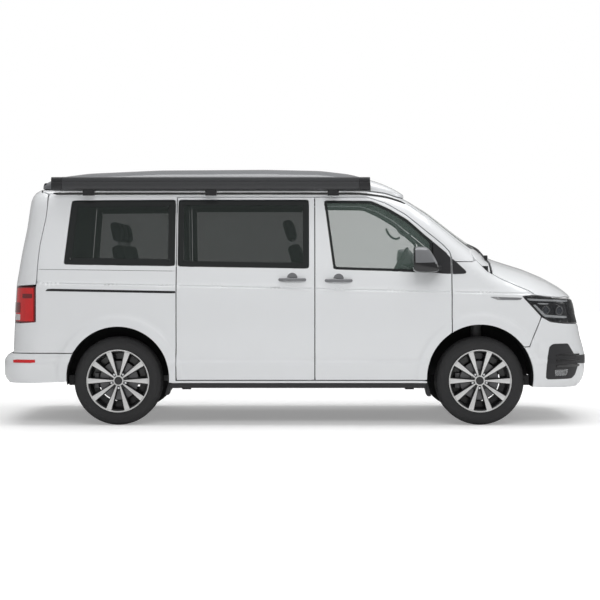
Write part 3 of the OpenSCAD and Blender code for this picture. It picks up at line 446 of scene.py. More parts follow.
def panel(name, body, surface, outline, mats, holes=(), depth=0.0, thick=SKIN, roll=0.003, step=0.032,
          inner_mat=0):
    """A sheet of the body's surface inside an outline, with rolled edges and closed behind."""
    outline = outline if area(outline) > 0 else outline[::-1]
    holes = [h if area(h) > 0 else h[::-1] for h in holes]
    inner = grown(outline, -roll)
    inner_holes = [grown(h, roll) for h in holes]
    extra = None
    if surface in (belt, nose_belt):
        extra = FEATURES * [1 if inner[:, 0].mean() > 0 else -1, 1]
    v2, tris = filled(inner, inner_holes, step, extra)
    loops = [(inner, outline)] + list(zip(inner_holes, holes))
    # match each loop's points to the triangulation's own
    p = surface(v2)
    n = body_normal(p)
    flat = np.mean(np.cross(p[tris[:, 1]] - p[tris[:, 0]], p[tris[:, 2]] - p[tris[:, 0]]), 0)
    if np.dot(flat, n[tris[:, 0]].mean(0)) < 0:
        tris = tris[:, ::-1]
    top_v = p - n * depth
    low_v = p - n * (depth + thick)
    count = len(v2)
    verts = [top_v, low_v]
    norms = [n, -n]
    faces = [tuple(t) for t in tris]
    faces += [tuple(t[::-1] + count) for t in tris]
    kinds = [0] * len(tris) + [1] * len(tris)
    at = 2 * count
    for inside, edge in loops:
        k = len(inside)
        d = np.abs(v2[None] - inside[:, None]).sum(2)
        idx = d.argmin(1)
        mid2 = inside + (edge - inside) * 0.7
        pm, pe = surface(mid2), surface(edge)
        nm, ne = body_normal(pm), body_normal(pe)
        out = pe - top_v[idx]
        out -= ne * np.sum(out * ne, 1)[:, None]
        out /= np.maximum(np.linalg.norm(out, axis=1, keepdims=True), 1e-9)
        verts += [pm - nm * (depth + roll * 0.3), pe - ne * (depth + roll), pe - ne * (depth + thick)]
        norms += [nm * 0.75 + out * 0.66, out, out]
        m0, e0, b0 = at, at + k, at + 2 * k
        at += 3 * k
        for i in range(k):
            j = (i + 1) % k
            for a, b, c, e in ((idx[i], idx[j], m0 + j, m0 + i), (m0 + i, m0 + j, e0 + j, e0 + i),
                               (e0 + i, e0 + j, b0 + j, b0 + i),
                               (b0 + i, b0 + j, count + idx[j], count + idx[i])):
                faces.append((a, b, c, e))
            kinds += [0, 0, 2, 1]
    verts = np.concatenate(verts)
    norms = np.concatenate(norms)
    norms /= np.maximum(np.linalg.norm(norms, axis=1, keepdims=True), 1e-9)
    # point each rim quad outwards
    done = []
    for f, kind in zip(faces, kinds):
        if len(f) == 4:
            a, b, c = verts[f[0]], verts[f[1]], verts[f[2]]
            want = norms[list(f)].mean(0) if kind != 1 else -body_normal(verts[[f[0]]])[0]
            if np.dot(np.cross(b - a, c - b), want) < 0:
                f = f[::-1]
        done.append(f)
    slots = [inner_mat if kind == 1 else 0 for kind in kinds]
    ob = mesh_piece(name, verts, done, body, mats, slots)
    me = ob.data
    me.polygons.foreach_set("use_smooth", [True] * len(me.polygons))
    loop_n = np.zeros((len(me.loops), 3))
    k = 0
    back = body_normal(verts)
    for f, kind in zip(done, kinds):
        for vi in f:
            loop_n[k] = -back[vi] if kind == 1 else norms[vi]
            k += 1
    me.normals_split_custom_set(loop_n.tolist())
    return ob


FEATURES = feature_rows()
BELT, DOME, HOOD = (belt, belt_place), (dome, dome_place), (hood, hood_place)
NOSE_BELT, TOP = (nose_belt, nose_belt_place), (top, top_place)


def skin(name, body, chart, loop, mats, holes=(), r=0.01, gap=GAP / 2, hole_r=0.02, **more):
    """A panel whose outline and holes are given as places on the body."""
    surface, place = chart
    out = grown(softened(place(loop), r), -gap)
    cut = [softened(place(h), hole_r) for h in holes]
    return panel(name, body, surface, out, mats, cut, **more)


def fitted(name, loop, mat, slot, body="body", chart=BELT, gap=0, **shape):
    """A trim piece of the skin in one material, cut to its outline with no shut line."""
    piece = skin(name, body, chart, loop, [mat], gap=gap, **shape)
    return piece


# ---- materials ---------------------------------------------------------------------------
def new_material(name):
    m = bpy.data.materials.new(name)
    m.use_nodes = True
    nt = m.node_tree
    return m, nt, nt.nodes["Principled BSDF"]


def group(name, inputs, outputs):
    g = bpy.data.node_groups.new(name, "ShaderNodeTree")
    for n, kind, value in inputs:
        s = g.interface.new_socket(name=n, in_out="INPUT", socket_type=kind)
        if value is not None:
            s.default_value = value
    for n, kind in outputs:
        g.interface.new_socket(name=n, in_out="OUTPUT", socket_type=kind)
    return g, g.nodes.new("NodeGroupInput"), g.nodes.new("NodeGroupOutput")


def grain_group():
    """Fine noise on object coordinates: a colour varied about its own value, a roughness and a bump."""
    g, gi, go = group("surface_grain", [
        ("Color", "NodeSocketColor", (0.5, 0.5, 0.5, 1)), ("Scale", "NodeSocketFloat", 400.0),
        ("Vary", "NodeSocketFloat", 0.05), ("Roughness", "NodeSocketFloat", 0.5),
        ("Rough Vary", "NodeSocketFloat", 0.08), ("Stretch", "NodeSocketVector", (1, 1, 1)),
        ("Bump", "NodeSocketFloat", 0.1), ("Distance", "NodeSocketFloat", 0.0005)],
        [("Color", "NodeSocketColor"), ("Roughness", "NodeSocketFloat"), ("Normal", "NodeSocketVector")])
    n, ln = g.nodes, g.links
    tc = n.new("ShaderNodeTexCoord")
    mul = n.new("ShaderNodeVectorMath")
    mul.operation = "MULTIPLY"
    ln.new(tc.outputs["Object"], mul.inputs[0])
    ln.new(gi.outputs["Stretch"], mul.inputs[1])
    fine = n.new("ShaderNodeTexNoise")
    ln.new(mul.outputs[0], fine.inputs["Vector"])
    ln.new(gi.outputs["Scale"], fine.inputs["Scale"])
    fine.inputs["Detail"].default_value = 3
    broad = n.new("ShaderNodeTexNoise")
    broad.inputs["Scale"].default_value = 3.0
    broad.inputs["Detail"].default_value = 2
    ln.new(tc.outputs["Object"], broad.inputs["Vector"])
    both = n.new("ShaderNodeMath")
    both.operation = "ADD"
    ln.new(fine.outputs["Fac"], both.inputs[0])
    ln.new(broad.outputs["Fac"], both.inputs[1])
    off = n.new("ShaderNodeMath")
    off.operation = "SUBTRACT"
    ln.new(both.outputs[0], off.inputs[0])
    off.inputs[1].default_value = 1.0
    amount = n.new("ShaderNodeMath")
    amount.operation = "MULTIPLY_ADD"
    ln.new(off.outputs[0], amount.inputs[0])
    ln.new(gi.outputs["Vary"], amount.inputs[1])
    amount.inputs[2].default_value = 1.0
    tint = n.new("ShaderNodeVectorMath")
    tint.operation = "SCALE"
    ln.new(gi.outputs["Color"], tint.inputs[0])
    ln.new(amount.outputs[0], tint.inputs["Scale"])
    ln.new(tint.outputs[0], go.inputs["Color"])
    rough = n.new("ShaderNodeMath")
    rough.operation = "MULTIPLY_ADD"
    ln.new(off.outputs[0], rough.inputs[0])
    ln.new(gi.outputs["Rough Vary"], rough.inputs[1])
    ln.new(gi.outputs["Roughness"], rough.inputs[2])
    ln.new(rough.outputs[0], go.inputs["Roughness"])
    bump = n.new("ShaderNodeBump")
    ln.new(fine.outputs["Fac"], bump.inputs["Height"])
    ln.new(gi.outputs["Bump"], bump.inputs["Strength"])
    ln.new(gi.outputs["Distance"], bump.inputs["Distance"])
    ln.new(bump.outputs[0], go.inputs["Normal"])
    return g


GRAIN = grain_group()


def finish_of(name, color, rough=0.5, metal=0.0, scale=400.0, vary=0.05, rough_vary=0.06, bump=0.1,
              distance=0.0004, stretch=(1, 1, 1), coat=0.0, coat_rough=0.03, sheen=0.0, spec=0.5,
              alpha=1.0, emission=None):
    """A material whose colour, roughness and relief vary finely over the surface."""
    m, nt, b = new_material(name)
    g = nt.nodes.new("ShaderNodeGroup")
    g.node_tree = GRAIN
    for key, value in (("Color", (*color, 1)), ("Scale", scale), ("Vary", vary), ("Roughness", rough),
                       ("Rough Vary", rough_vary), ("Stretch", stretch), ("Bump", bump),
                       ("Distance", distance)):
        g.inputs[key].default_value = value
    nt.links.new(g.outputs["Color"], b.inputs["Base Color"])
    nt.links.new(g.outputs["Roughness"], b.inputs["Roughness"])
    if bump > 0:
        nt.links.new(g.outputs["Normal"], b.inputs["Normal"])
    b.inputs["Metallic"].default_value = metal
    b.inputs["Coat Weight"].default_value = coat
    b.inputs["Coat Roughness"].default_value = coat_rough
    b.inputs["Sheen Weight"].default_value = sheen
    b.inputs["Specular IOR Level"].default_value = spec
    b.inputs["Alpha"].default_value = alpha
    if emission:
        b.inputs["Emission Color"].default_value = (*emission[0], 1)
        b.inputs["Emission Strength"].default_value = emission[1]
    return m


def glass_of(name, color, alpha, rough=0.02):
    """Tinted window glass: a thin dark film over what lies behind, with a sharp gloss."""
    m = finish_of(name, color, rough=rough, vary=0.03, rough_vary=0.005, bump=0.0, coat=0.0, spec=0.35,
                  alpha=alpha)
    m.surface_render_method = "BLENDED"
    return m


PAINT = finish_of("white_paint", (0.80, 0.815, 0.83), rough=0.32, scale=900, vary=0.012,
                  rough_vary=0.02, bump=0.015, distance=0.0001, coat=1.0, coat_rough=0.03)
ROOF_GREY = finish_of("grey_roof_paint", (0.135, 0.14, 0.15), rough=0.38, scale=900, vary=0.03,
                      bump=0.02, distance=0.0001, coat=0.8, coat_rough=0.08)
SEAL = finish_of("rubber_seal", (0.012, 0.012, 0.013), rough=0.62, scale=700, bump=0.15)
TRIM = finish_of("black_moulded_plastic", (0.022, 0.022, 0.024), rough=0.48, scale=1400, bump=0.35,
                 distance=0.0003)
GLOSS_BLACK = finish_of("gloss_black_plastic", (0.008, 0.008, 0.009), rough=0.12, scale=300, bump=0.0,
                        coat=0.6)
CABIN = finish_of("cabin_lining", (0.055, 0.056, 0.060), rough=0.7, scale=1100, bump=0.4, distance=0.0004)
CABIN_PALE = finish_of("pale_cabin_lining", (0.30, 0.30, 0.29), rough=0.75, scale=1100, bump=0.4,
                       distance=0.0004)
DARK_GLASS = glass_of("privacy_glass", (0.030, 0.038, 0.035), 0.55)
CLEAR_GLASS = glass_of("green_tinted_glass", (0.17, 0.225, 0.20), 0.25)
FRIT = finish_of("black_glass_border", (0.020, 0.022, 0.022), rough=0.06, scale=200, vary=0.02,
                 rough_vary=0.01, bump=0.0, spec=0.35)
UNDER = finish_of("underbody_coating", (0.018, 0.018, 0.019), rough=0.85, scale=350, bump=0.7,
                  distance=0.0015)
STEEL = finish_of("satin_steel", (0.42, 0.42, 0.43), rough=0.38, metal=1.0, scale=160,
                  stretch=(1, 1, 6), bump=0.05)
CAST = finish_of("cast_metal", (0.20, 0.20, 0.205), rough=0.62, metal=0.8, scale=300, bump=0.6,
                 distance=0.0008)
CANVAS = finish_of("roof_canvas_cloth", (0.17, 0.175, 0.185), rough=0.9, scale=1600, bump=0.6,
                   distance=0.0006, sheen=0.2)
AWNING = finish_of("anthracite_awning_metal", (0.050, 0.051, 0.054), rough=0.42, metal=0.15, scale=120,
                   stretch=(0.05, 1, 1), vary=0.05, bump=0.05)
SATIN_GREY = finish_of("satin_grey_plastic", (0.22, 0.225, 0.235), rough=0.35, metal=0.35, scale=900,
                       bump=0.05, coat=0.3)

# ---- painted panels ----------------------------------------------------------------------
DOOR_Z = 0.367
DOOR_TOP = ROOF_Z - 0.077
GLASS_LOW = 1.290
GLASS_HIGH = ROOF_Z - 0.097
HINGE_X = FRONT - 0.231              # front edge of a front door
SILL_TOP = 0.347
BUMPER_Z = 0.588
LAMP_LOW, LAMP_HIGH = 0.834, 1.134
LAMP_X = TAIL + 0.322
TAIL_HALF = HALF_W - 0.172           # the tailgate's half width between the lamps
RAIL_Y = HALF_W - 0.190              # where the sides hand over to the roof
COWL_X = FRONT + 0.104
LAMP_IN = HALF_W - 0.440

quarter_window = [(REAR - 0.446, GLASS_LOW + 0.022), (REAR - 0.392, GLASS_HIGH - 0.006),
                  (PILLAR_C - 0.010, GLASS_HIGH), (PILLAR_C - 0.010, GLASS_LOW + 0.007)]
slider_window = [(PILLAR_C + 0.010, GLASS_HIGH), (PILLAR_B - 0.047, GLASS_HIGH),
                 (PILLAR_B - 0.047, GLASS_LOW - 0.012), (PILLAR_C + 0.010, GLASS_LOW + 0.005)]
door_window = [(PILLAR_B + 0.150, GLASS_LOW - 0.019), (PILLAR_B + 0.074, GLASS_HIGH - 0.006),
               (FRONT - 0.880, GLASS_HIGH - 0.010), (FRONT - 0.727, GLASS_HIGH - 0.082),
               (FRONT - 0.586, GLASS_HIGH - 0.168), (FRONT - 0.460, GLASS_HIGH - 0.282),
               (FRONT - 0.300, GLASS_HIGH - 0.418), (FRONT - 0.262, GLASS_LOW + 0.110),
               (FRONT - 0.262, GLASS_LOW - 0.040), (FRONT - 0.38, GLASS_LOW - 0.045)]


def arch(cx, start, stop, n=40):
    """Side-view corners along a wheel arch, from one height or angle to another."""
    r = ARCH_R[cx]
    turn = np.radians(np.linspace(start, stop, n))
    return list(zip(cx + r * np.cos(turn), ARCH_Z + r * np.sin(turn)))


def arch_angle(cx, z, rear=False):
    a = math.degrees(math.asin((z - ARCH_Z) / ARCH_R[cx]))
    return 180 - a if rear else a


door_arch = math.degrees(math.acos((HINGE_X - FRONT) / ARCH_R[FRONT]))
front_door = [(PILLAR_B, DOOR_Z), (PILLAR_B, DOOR_TOP), (FRONT - 0.913, DOOR_TOP),
              (FRONT - 0.759, DOOR_TOP - 0.053), (FRONT - 0.601, DOOR_TOP - 0.146),
              (FRONT - 0.443, DOOR_TOP - 0.276), (FRONT - 0.301, DOOR_TOP - 0.392),
              (FRONT - 0.246, 1.415), (HINGE_X, 1.362)]
door_front_edge = front_door[1:]
front_door += arch(FRONT, door_arch, arch_angle(FRONT, DOOR_Z, True))
sliding_door = [(PILLAR_C, DOOR_Z), (PILLAR_C, DOOR_TOP), (PILLAR_B, DOOR_TOP), (PILLAR_B, DOOR_Z)]
hood_edge = [(FRONT + 0.108, 1.236), (FRONT + 0.180, 1.194), (FRONT + 0.299, 1.141),
             (FRONT + 0.401, 1.100), (FRONT + 0.449, 1.064)]
lamp_upper = [(FRONT + 0.346, 1.052), (FRONT + 0.449, 1.060), (FRONT + 0.560, 1.046),
              (FRONT + 0.70, 1.038)]
lamp_lower = [(FRONT + 0.70, 0.829), (FRONT + 0.579, 0.845), (FRONT + 0.503, 0.886)]
tail_edge = [(TAIL + 0.328, 1.145), (TAIL + 0.339, 1.364), (TAIL + 0.352, 1.484),
             (TAIL + 0.395, ROOF_Z - 0.244), (TAIL + 0.404, ROOF_Z - 0.140)]


def side(points, s):
    return from_side(runs(list(points)), s)


def rail(x0, x1, s):
    """The line where a side hands over to the roof."""
    return from_above(runs([(x0, s * RAIL_Y), (x1, s * RAIL_Y)]))


def across(right):
    """A closed loop over the middle of the van from its right half, given as places."""
    return np.vstack([right, right[::-1] * [1, -1, 1]])


def both(maker):
    """Runs a maker for the left side and then for the right."""
    for s in (1, -1):
        maker(s, "left" if s > 0 else "right")


def front_door_skin(s, word):
    ob = skin(f"front_door_skin_{word}", f"front_door_{word}", BELT, side(closed(front_door), s),
              DOOR_MATS, [side(closed(door_window), s)], thick=0.045, inner_mat=1, hole_r=0.03)
    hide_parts(f"front_door_{word}")


def side_body_skin(s, word):
    front = PILLAR_B if s > 0 else PILLAR_C      # the sliding door fills the middle of the right side
    low_run = [(TAIL + 0.30, BUMPER_Z)] + arch(REAR, arch_angle(REAR, BUMPER_Z, True),
                                               arch_angle(REAR, SILL_TOP))
    loop = [side([(front, SILL_TOP), (front, DOOR_TOP)] + ([] if s > 0 else [(PILLAR_B, DOOR_TOP)]), s),
            side(door_front_edge + [(HINGE_X + 0.002, 1.336), (FRONT - 0.060, 1.336),
                                    (FRONT - 0.030, 1.352)], s),
            rail(FRONT - 0.06, TAIL + 0.40, s), side(tail_edge[::-1], s),
            side([tail_edge[0], (LAMP_X, LAMP_HIGH), (LAMP_X, LAMP_LOW)], s),
            from_end(runs([(s * (TAIL_HALF + 0.08), LAMP_LOW), (s * TAIL_HALF, LAMP_LOW),
                           (s * TAIL_HALF, BUMPER_Z), (s * (TAIL_HALF + 0.08), BUMPER_Z)]), -1),
            side(low_run + [(front, SILL_TOP)], s)]
    holes = [side(closed(quarter_window), s)]
    if s > 0:
        holes.append(side(closed(slider_window), s))
    ob = skin(f"side_skin_{word}", "body", BELT, np.vstack(loop), DOOR_MATS, holes, thick=0.03,
              inner_mat=1, r=0.008, hole_r=0.03)
    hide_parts(f"side_panel_{word}")


def front_wing_skin(s, word):
    loop = side(closed([(HINGE_X, 1.336), (FRONT - 0.060, 1.336), (FRONT - 0.030, 1.352),
                        (FRONT + 0.066, 1.262)] + hood_edge + [lamp_upper[0], lamp_lower[-1],
                                                               (FRONT + 0.400, 0.640)]
                       + arch(FRONT, arch_angle(FRONT, 0.640), door_arch)), s)
    ob = skin(f"front_wing_skin_{word}", "body", BELT, loop, PANEL_MATS, inner_mat=1, r=0.006)
    return ob


DOOR_MATS = [PAINT, CABIN]
PANEL_MATS = [PAINT, UNDER]
both(front_door_skin)
both(side_body_skin)
wings = []
both(lambda s, word: wings.append(front_wing_skin(s, word)))
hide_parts("front_wings")

slider = skin("sliding_door_skin", "body", BELT, side(closed(sliding_door), -1), DOOR_MATS,
              [side(closed(slider_window), -1)], thick=0.045, inner_mat=1, hole_r=0.03)
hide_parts("sliding_door")

gate_right = [from_end(runs([(0, 0.606), (-TAIL_HALF, 0.606), (-TAIL_HALF, 1.142)]), -1),
              side(tail_edge, -1),
              from_above(runs([(TAIL + 0.403, -RAIL_Y + 0.002), (TAIL + 0.345, -RAIL_Y + 0.045),
                               (TAIL + 0.330, -0.64), (TAIL + 0.330, 0)]))]
gate_right = np.vstack(gate_right)
tail_window = [(-0.690, 1.210), (-0.655, 1.50), (-0.600, 1.765), (0, 1.785)]
window_right = from_end(runs(tail_window), -1)
low_right = from_end(runs([(0, 1.190), (-0.66, 1.195), (-0.690, 1.210)]), -1)
window_right = np.vstack([low_right, window_right])
gate = skin("tailgate_skin", "tailgate", DOME, across(gate_right), DOOR_MATS, [across(window_right)],
            thick=0.04, inner_mat=1, hole_r=0.03)
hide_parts("tailgate")

bumper_right = np.vstack([from_end(runs([(0, BUMPER_Z), (-TAIL_HALF, BUMPER_Z)]), -1),
                          side([(TAIL + 0.12, BUMPER_Z), (TAIL + 0.30, BUMPER_Z)]
                               + arch(REAR, arch_angle(REAR, BUMPER_Z, True), arch_angle(REAR, 0.352, True))
                               + [(TAIL + 0.30, 0.340)], -1),
                          from_end(runs([(-0.7, 0.336), (0, 0.336)]), -1)])
bumper = skin("rear_bumper_skin", "body", BELT, across(bumper_right), PANEL_MATS, inner_mat=1, r=0.006)
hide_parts("rear_bumper")

bonnet_right = np.vstack([side(hood_edge + [(FRONT + 0.560, 1.050), (FRONT + 0.70, 1.042)], -1),
                          from_end(runs([(-0.60, 1.036), (-0.42, 1.032), (0, 1.030)]), 1)])
cowl_right = from_above(runs([(COWL_X + 0.008, 0), (COWL_X + 0.008, -0.80), (FRONT + 0.108, -0.84)]))
bonnet = skin("bonnet_skin", "bonnet", HOOD, across(np.vstack([cowl_right, bonnet_right])), PANEL_MATS,
              inner_mat=1, r=0.010)
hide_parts("bonnet")


bumper_right = np.vstack([
    from_end(runs([(0, 0.815), (-LAMP_IN, 0.815), (-0.62, 0.822)]), 1),
    side(lamp_lower + [(FRONT + 0.400, 0.640)] + arch(FRONT, arch_angle(FRONT, 0.640),
                                                      arch_angle(FRONT, 0.31))
         + [(FRONT + 0.60, 0.300)], -1),
    from_end(runs([(-0.60, 0.296), (0, 0.290)]), 1)])
mid_grille = np.vstack([from_end(runs([(0, 0.500), (-0.50, 0.500), (-0.54, 0.47), (-0.50, 0.370),
                                       (0, 0.360)]), 1)])
front_bumper = skin("front_bumper_skin", "body", NOSE_BELT, across(bumper_right), PANEL_MATS,
                    [across(mid_grille)], inner_mat=1, r=0.006)
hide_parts("front_bumper")

# roof with the screen opening and the hatch under the lifting roof
SCREEN_Y = RAIL_Y - 0.055
screen_loop = from_above(runs(closed([(FRONT + 0.060, 0), (FRONT + 0.030, SCREEN_Y * 0.7),
                                      (FRONT - 0.060, SCREEN_Y), (FRONT - 0.560, SCREEN_Y - 0.02),
                                      (FRONT - 0.620, SCREEN_Y * 0.7), (FRONT - 0.640, 0),
                                      (FRONT - 0.620, -SCREEN_Y * 0.7),
                                      (FRONT - 0.560, 0.02 - SCREEN_Y), (FRONT - 0.060, -SCREEN_Y),
                                      (FRONT + 0.030, -SCREEN_Y * 0.7)])))
hatch_loop = from_above(runs(closed([(-1.72, -0.56), (FRONT - 1.12, -0.56), (FRONT - 1.12, 0.56),
                                     (-1.72, 0.56)])))
cowl_side = [(FRONT - 0.030, 1.354), (FRONT + 0.066, 1.264), (COWL_X, 1.242)]
roof_right = np.vstack([from_above(runs([(TAIL + 0.335, 0), (TAIL + 0.335, -0.64),
                                         (TAIL + 0.350, -RAIL_Y + 0.045), (TAIL + 0.41, -RAIL_Y),
                                         (FRONT - 0.060, -RAIL_Y)])),
                        side(cowl_side, -1)])
roof_loop = across(roof_right)
roof = skin("roof_skin", "body", TOP, roof_loop, [PAINT, CABIN_PALE], [screen_loop, hatch_loop],
            thick=0.03, inner_mat=1, r=0.008, gap=0.001)
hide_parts("roof_panel")

# ---- glass -------------------------------------------------------------------------------
def window(name, body, chart, loop, border, glass, node=None, r=0.03, depth=0.003):
    """A pane with its printed black border, set in from the skin round it."""
    surface, place = chart
    out = grown(softened(place(loop), r), -0.003)
    hole = softened(grown(out, -border), 0.02)
    ring = panel(f"{name}_border", body, surface, out, [FRIT], [hole], depth=depth, thick=GLASS, roll=0.001)
    pane = panel(f"{name}_pane", body, surface, grown(hole, -0.0004), [glass], depth=depth, thick=GLASS,
                 roll=0.0008)
    if node:
        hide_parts(node)
    return ring, pane


DOOR_GLASS_X = FRONT - 0.385         # where the door's pane ends and the black mirror corner starts
door_pane = [(PILLAR_B + 0.150, GLASS_LOW - 0.019), (PILLAR_B + 0.074, GLASS_HIGH - 0.006),
             (FRONT - 0.880, GLASS_HIGH - 0.010), (FRONT - 0.727, GLASS_HIGH - 0.082),
             (FRONT - 0.586, GLASS_HIGH - 0.168), (FRONT - 0.460, GLASS_HIGH - 0.282),
             (DOOR_GLASS_X, GLASS_HIGH - 0.345), (DOOR_GLASS_X, GLASS_LOW - 0.044)]
mirror_corner = [(DOOR_GLASS_X + 0.003, GLASS_LOW - 0.044), (DOOR_GLASS_X + 0.003, GLASS_HIGH - 0.347),
                 (FRONT - 0.300, GLASS_HIGH - 0.418), (HINGE_X - 0.006, 1.368),
                 (HINGE_X - 0.006, GLASS_LOW - 0.056), (FRONT - 0.30, GLASS_LOW - 0.054)]
wing_corner = [(HINGE_X + 0.005, 1.362), (FRONT - 0.118, 1.262), (FRONT - 0.112, 1.246),
               (FRONT - 0.125, 1.236), (HINGE_X + 0.005, 1.234)]


def side_glass(s, word):
    window(f"front_door_window_{word}", f"front_door_{word}", BELT, side(closed(door_pane), s), 0.020,
           CLEAR_GLASS, f"front_door_glass_{word}")
    fitted(f"mirror_corner_{word}", side(closed(mirror_corner), s), TRIM, "black_plastic",
           body=f"front_door_{word}", gap=0.001, r=0.008, depth=-0.003, thick=0.012)
    fitted(f"wing_corner_{word}", side(closed(wing_corner), s), TRIM, "black_plastic", gap=0.0, r=0.010,
           depth=-0.006, thick=0.0055)
    ring, pane = window(f"quarter_window_{word}", "body", BELT, side(closed(quarter_window), s), 0.055,
                        DARK_GLASS)
    window(f"middle_window_{word}", "body", BELT, side(closed(slider_window), s), 0.045, DARK_GLASS,
           "side_windows" if s < 0 else None)


both(side_glass)
window("tailgate_window", "tailgate", DOME, across(window_right), 0.05, DARK_GLASS,
       "tailgate_glass")
window("windscreen", "body", TOP, screen_loop, 0.045, CLEAR_GLASS, "windscreen", r=0.05)

# ---- lamps -------------------------------------------------------------------------------
LENS = glass_of("clear_lamp_lens", (0.035, 0.037, 0.040), 0.30)
LED = finish_of("led_light_guide", (0.88, 0.90, 0.92), rough=0.25, vary=0.02, bump=0.02,
                emission=((0.9, 0.95, 1.0), 0.12))
CHROME = finish_of("bright_chrome", (0.80, 0.81, 0.82), rough=0.10, metal=1.0, scale=200, vary=0.02,
                   bump=0.0)
BEZEL = finish_of("lamp_bezel", (0.030, 0.031, 0.034), rough=0.22, scale=500, bump=0.03, coat=0.4)
RED_LENS = finish_of("red_lamp_lens", (0.62, 0.010, 0.012), rough=0.10, scale=60, vary=0.25, bump=0.15,
                     distance=0.001, coat=1.0, coat_rough=0.02)
RED_DARK = finish_of("deep_red_lamp_lens", (0.16, 0.006, 0.008), rough=0.12, scale=60, vary=0.2,
                     bump=0.15, distance=0.001, coat=1.0, coat_rough=0.02)
CLEAR_BLOCK = finish_of("white_lamp_lens", (0.62, 0.60, 0.60), rough=0.15, scale=60, vary=0.2, bump=0.3,
                        distance=0.001, coat=1.0)


def headlamp(s, word):
    loop = np.vstack([side(lamp_upper, s), from_end(runs([(s * 0.66, 1.036), (s * LAMP_IN, 1.026),
                                                          (s * LAMP_IN, 0.816), (s * 0.64, 0.822)]), 1),
                      side(lamp_lower + [lamp_upper[0]], s)])
    shell = fitted(f"headlamp_shell_{word}", loop, BEZEL, "lamp", gap=0.002, r=0.008, depth=0.055,
                   thick=0.01)
    if s > 0:
        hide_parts("headlamps")
    rim_hole = [grown(softened(belt_place(loop), 0.008), -0.013)]
    rim = panel(f"headlamp_rim_{word}", "body", belt, grown(softened(belt_place(loop), 0.008), -0.002),
                [GLOSS_BLACK], rim_hole, depth=0.002, thick=0.05)
    lens = panel(f"headlamp_lens_{word}", "body", belt, grown(rim_hole[0], -0.0004), [LENS],
                 depth=0.003, thick=0.003)
    bars = [[(FRONT + 0.375, 1.040), (FRONT + 0.60, 1.030), (FRONT + 0.76, 1.024),
             (FRONT + 0.76, 1.012), (FRONT + 0.60, 1.016), (FRONT + 0.40, 1.022)],
            [(FRONT + 0.432, 0.985), (FRONT + 0.455, 0.985), (FRONT + 0.540, 0.902),
             (FRONT + 0.74, 0.888), (FRONT + 0.74, 0.870), (FRONT + 0.53, 0.884)],
            [(FRONT + 0.470, 1.000), (FRONT + 0.575, 0.995), (FRONT + 0.560, 0.984),
             (FRONT + 0.490, 0.988)]]
    for i, bar in enumerate(bars):
        fitted(f"headlamp_bar_{i}_{word}", side(closed(bar), s), LED, "lamp", r=0.003, depth=0.012,
               thick=0.012, roll=0.001)
    for i, (x, z, r) in enumerate(((FRONT + 0.555, 0.940, 0.036), (FRONT + 0.685, 0.935, 0.038))):
        turn = np.linspace(0, 2 * math.pi, 40)
        ring = [(x + r * math.cos(t), z + r * math.sin(t)) for t in turn]
        hole = [(x + 0.78 * r * math.cos(t), z + 0.78 * r * math.sin(t)) for t in turn]
        fitted(f"headlamp_ring_{i}_{word}", side(ring, s), CHROME, "lamp", holes=[side(hole, s)], r=0,
               hole_r=0, depth=0.026, thick=0.02, roll=0.002)
        fitted(f"headlamp_eye_{i}_{word}", side(hole, s), LENS_EYE, "lamp", gap=0.0005, r=0, depth=0.03,
               thick=0.012, roll=0.006)


LENS_EYE = finish_of("projector_eye", (0.10, 0.11, 0.13), rough=0.05, scale=80, vary=0.1, bump=0.0,
                     coat=1.0)
both(headlamp)


def tail_lamp(s, word):
    half = TAIL_HALF
    loop = np.vstack([from_end(runs([(s * (half + 0.075), LAMP_LOW), (s * half, LAMP_LOW),
                                     (s * half, LAMP_HIGH), (s * (half + 0.075), LAMP_HIGH)]), -1),
                      side([(TAIL + 0.20, LAMP_HIGH), (LAMP_X, LAMP_HIGH), (LAMP_X, LAMP_LOW),
                            (TAIL + 0.20, LAMP_LOW)], s)])
    out = grown(softened(belt_place(loop), 0.012), -0.003)
    inner = softened(grown(out, -0.010), 0.01)
    frame_ring = panel(f"tail_lamp_frame_{word}", "body", belt, out, [RED_DARK], [inner], thick=0.03)
    z0, z1 = inner[:, 1].min(), inner[:, 1].max()
    lens = panel(f"tail_lamp_lens_{word}", "body", belt, grown(inner, -0.0005), [RED_LENS],
                 depth=-0.001, thick=0.02, roll=0.004)
    if s > 0:
        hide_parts("tail_lamps")
    edge = s * belt_place(side([(LAMP_X, 0.9)] * 2, s))[0, 0]
    blocks = [(CLEAR_BLOCK, edge - 0.215, edge - 0.130, z0 + 0.010, z0 + 0.058),
              (RED_DARK, edge - 0.255, edge - 0.130, z0 + 0.070, z1 - 0.120),
              (RED_DARK, edge - 0.110, edge - 0.022, z1 - 0.085, z1 - 0.048)]
    for i, (mat, a, b, c, d) in enumerate(blocks):
        box = np.array([(s * a, c), (s * b, c), (s * b, d), (s * a, d)], float)
        ob = panel(f"tail_lamp_block_{i}_{word}", "body", belt,
                   softened(box if area(box) > 0 else box[::-1], 0.008),
                   [mat], depth=-0.0025, thick=0.0025, roll=0.001)


both(tail_lamp)

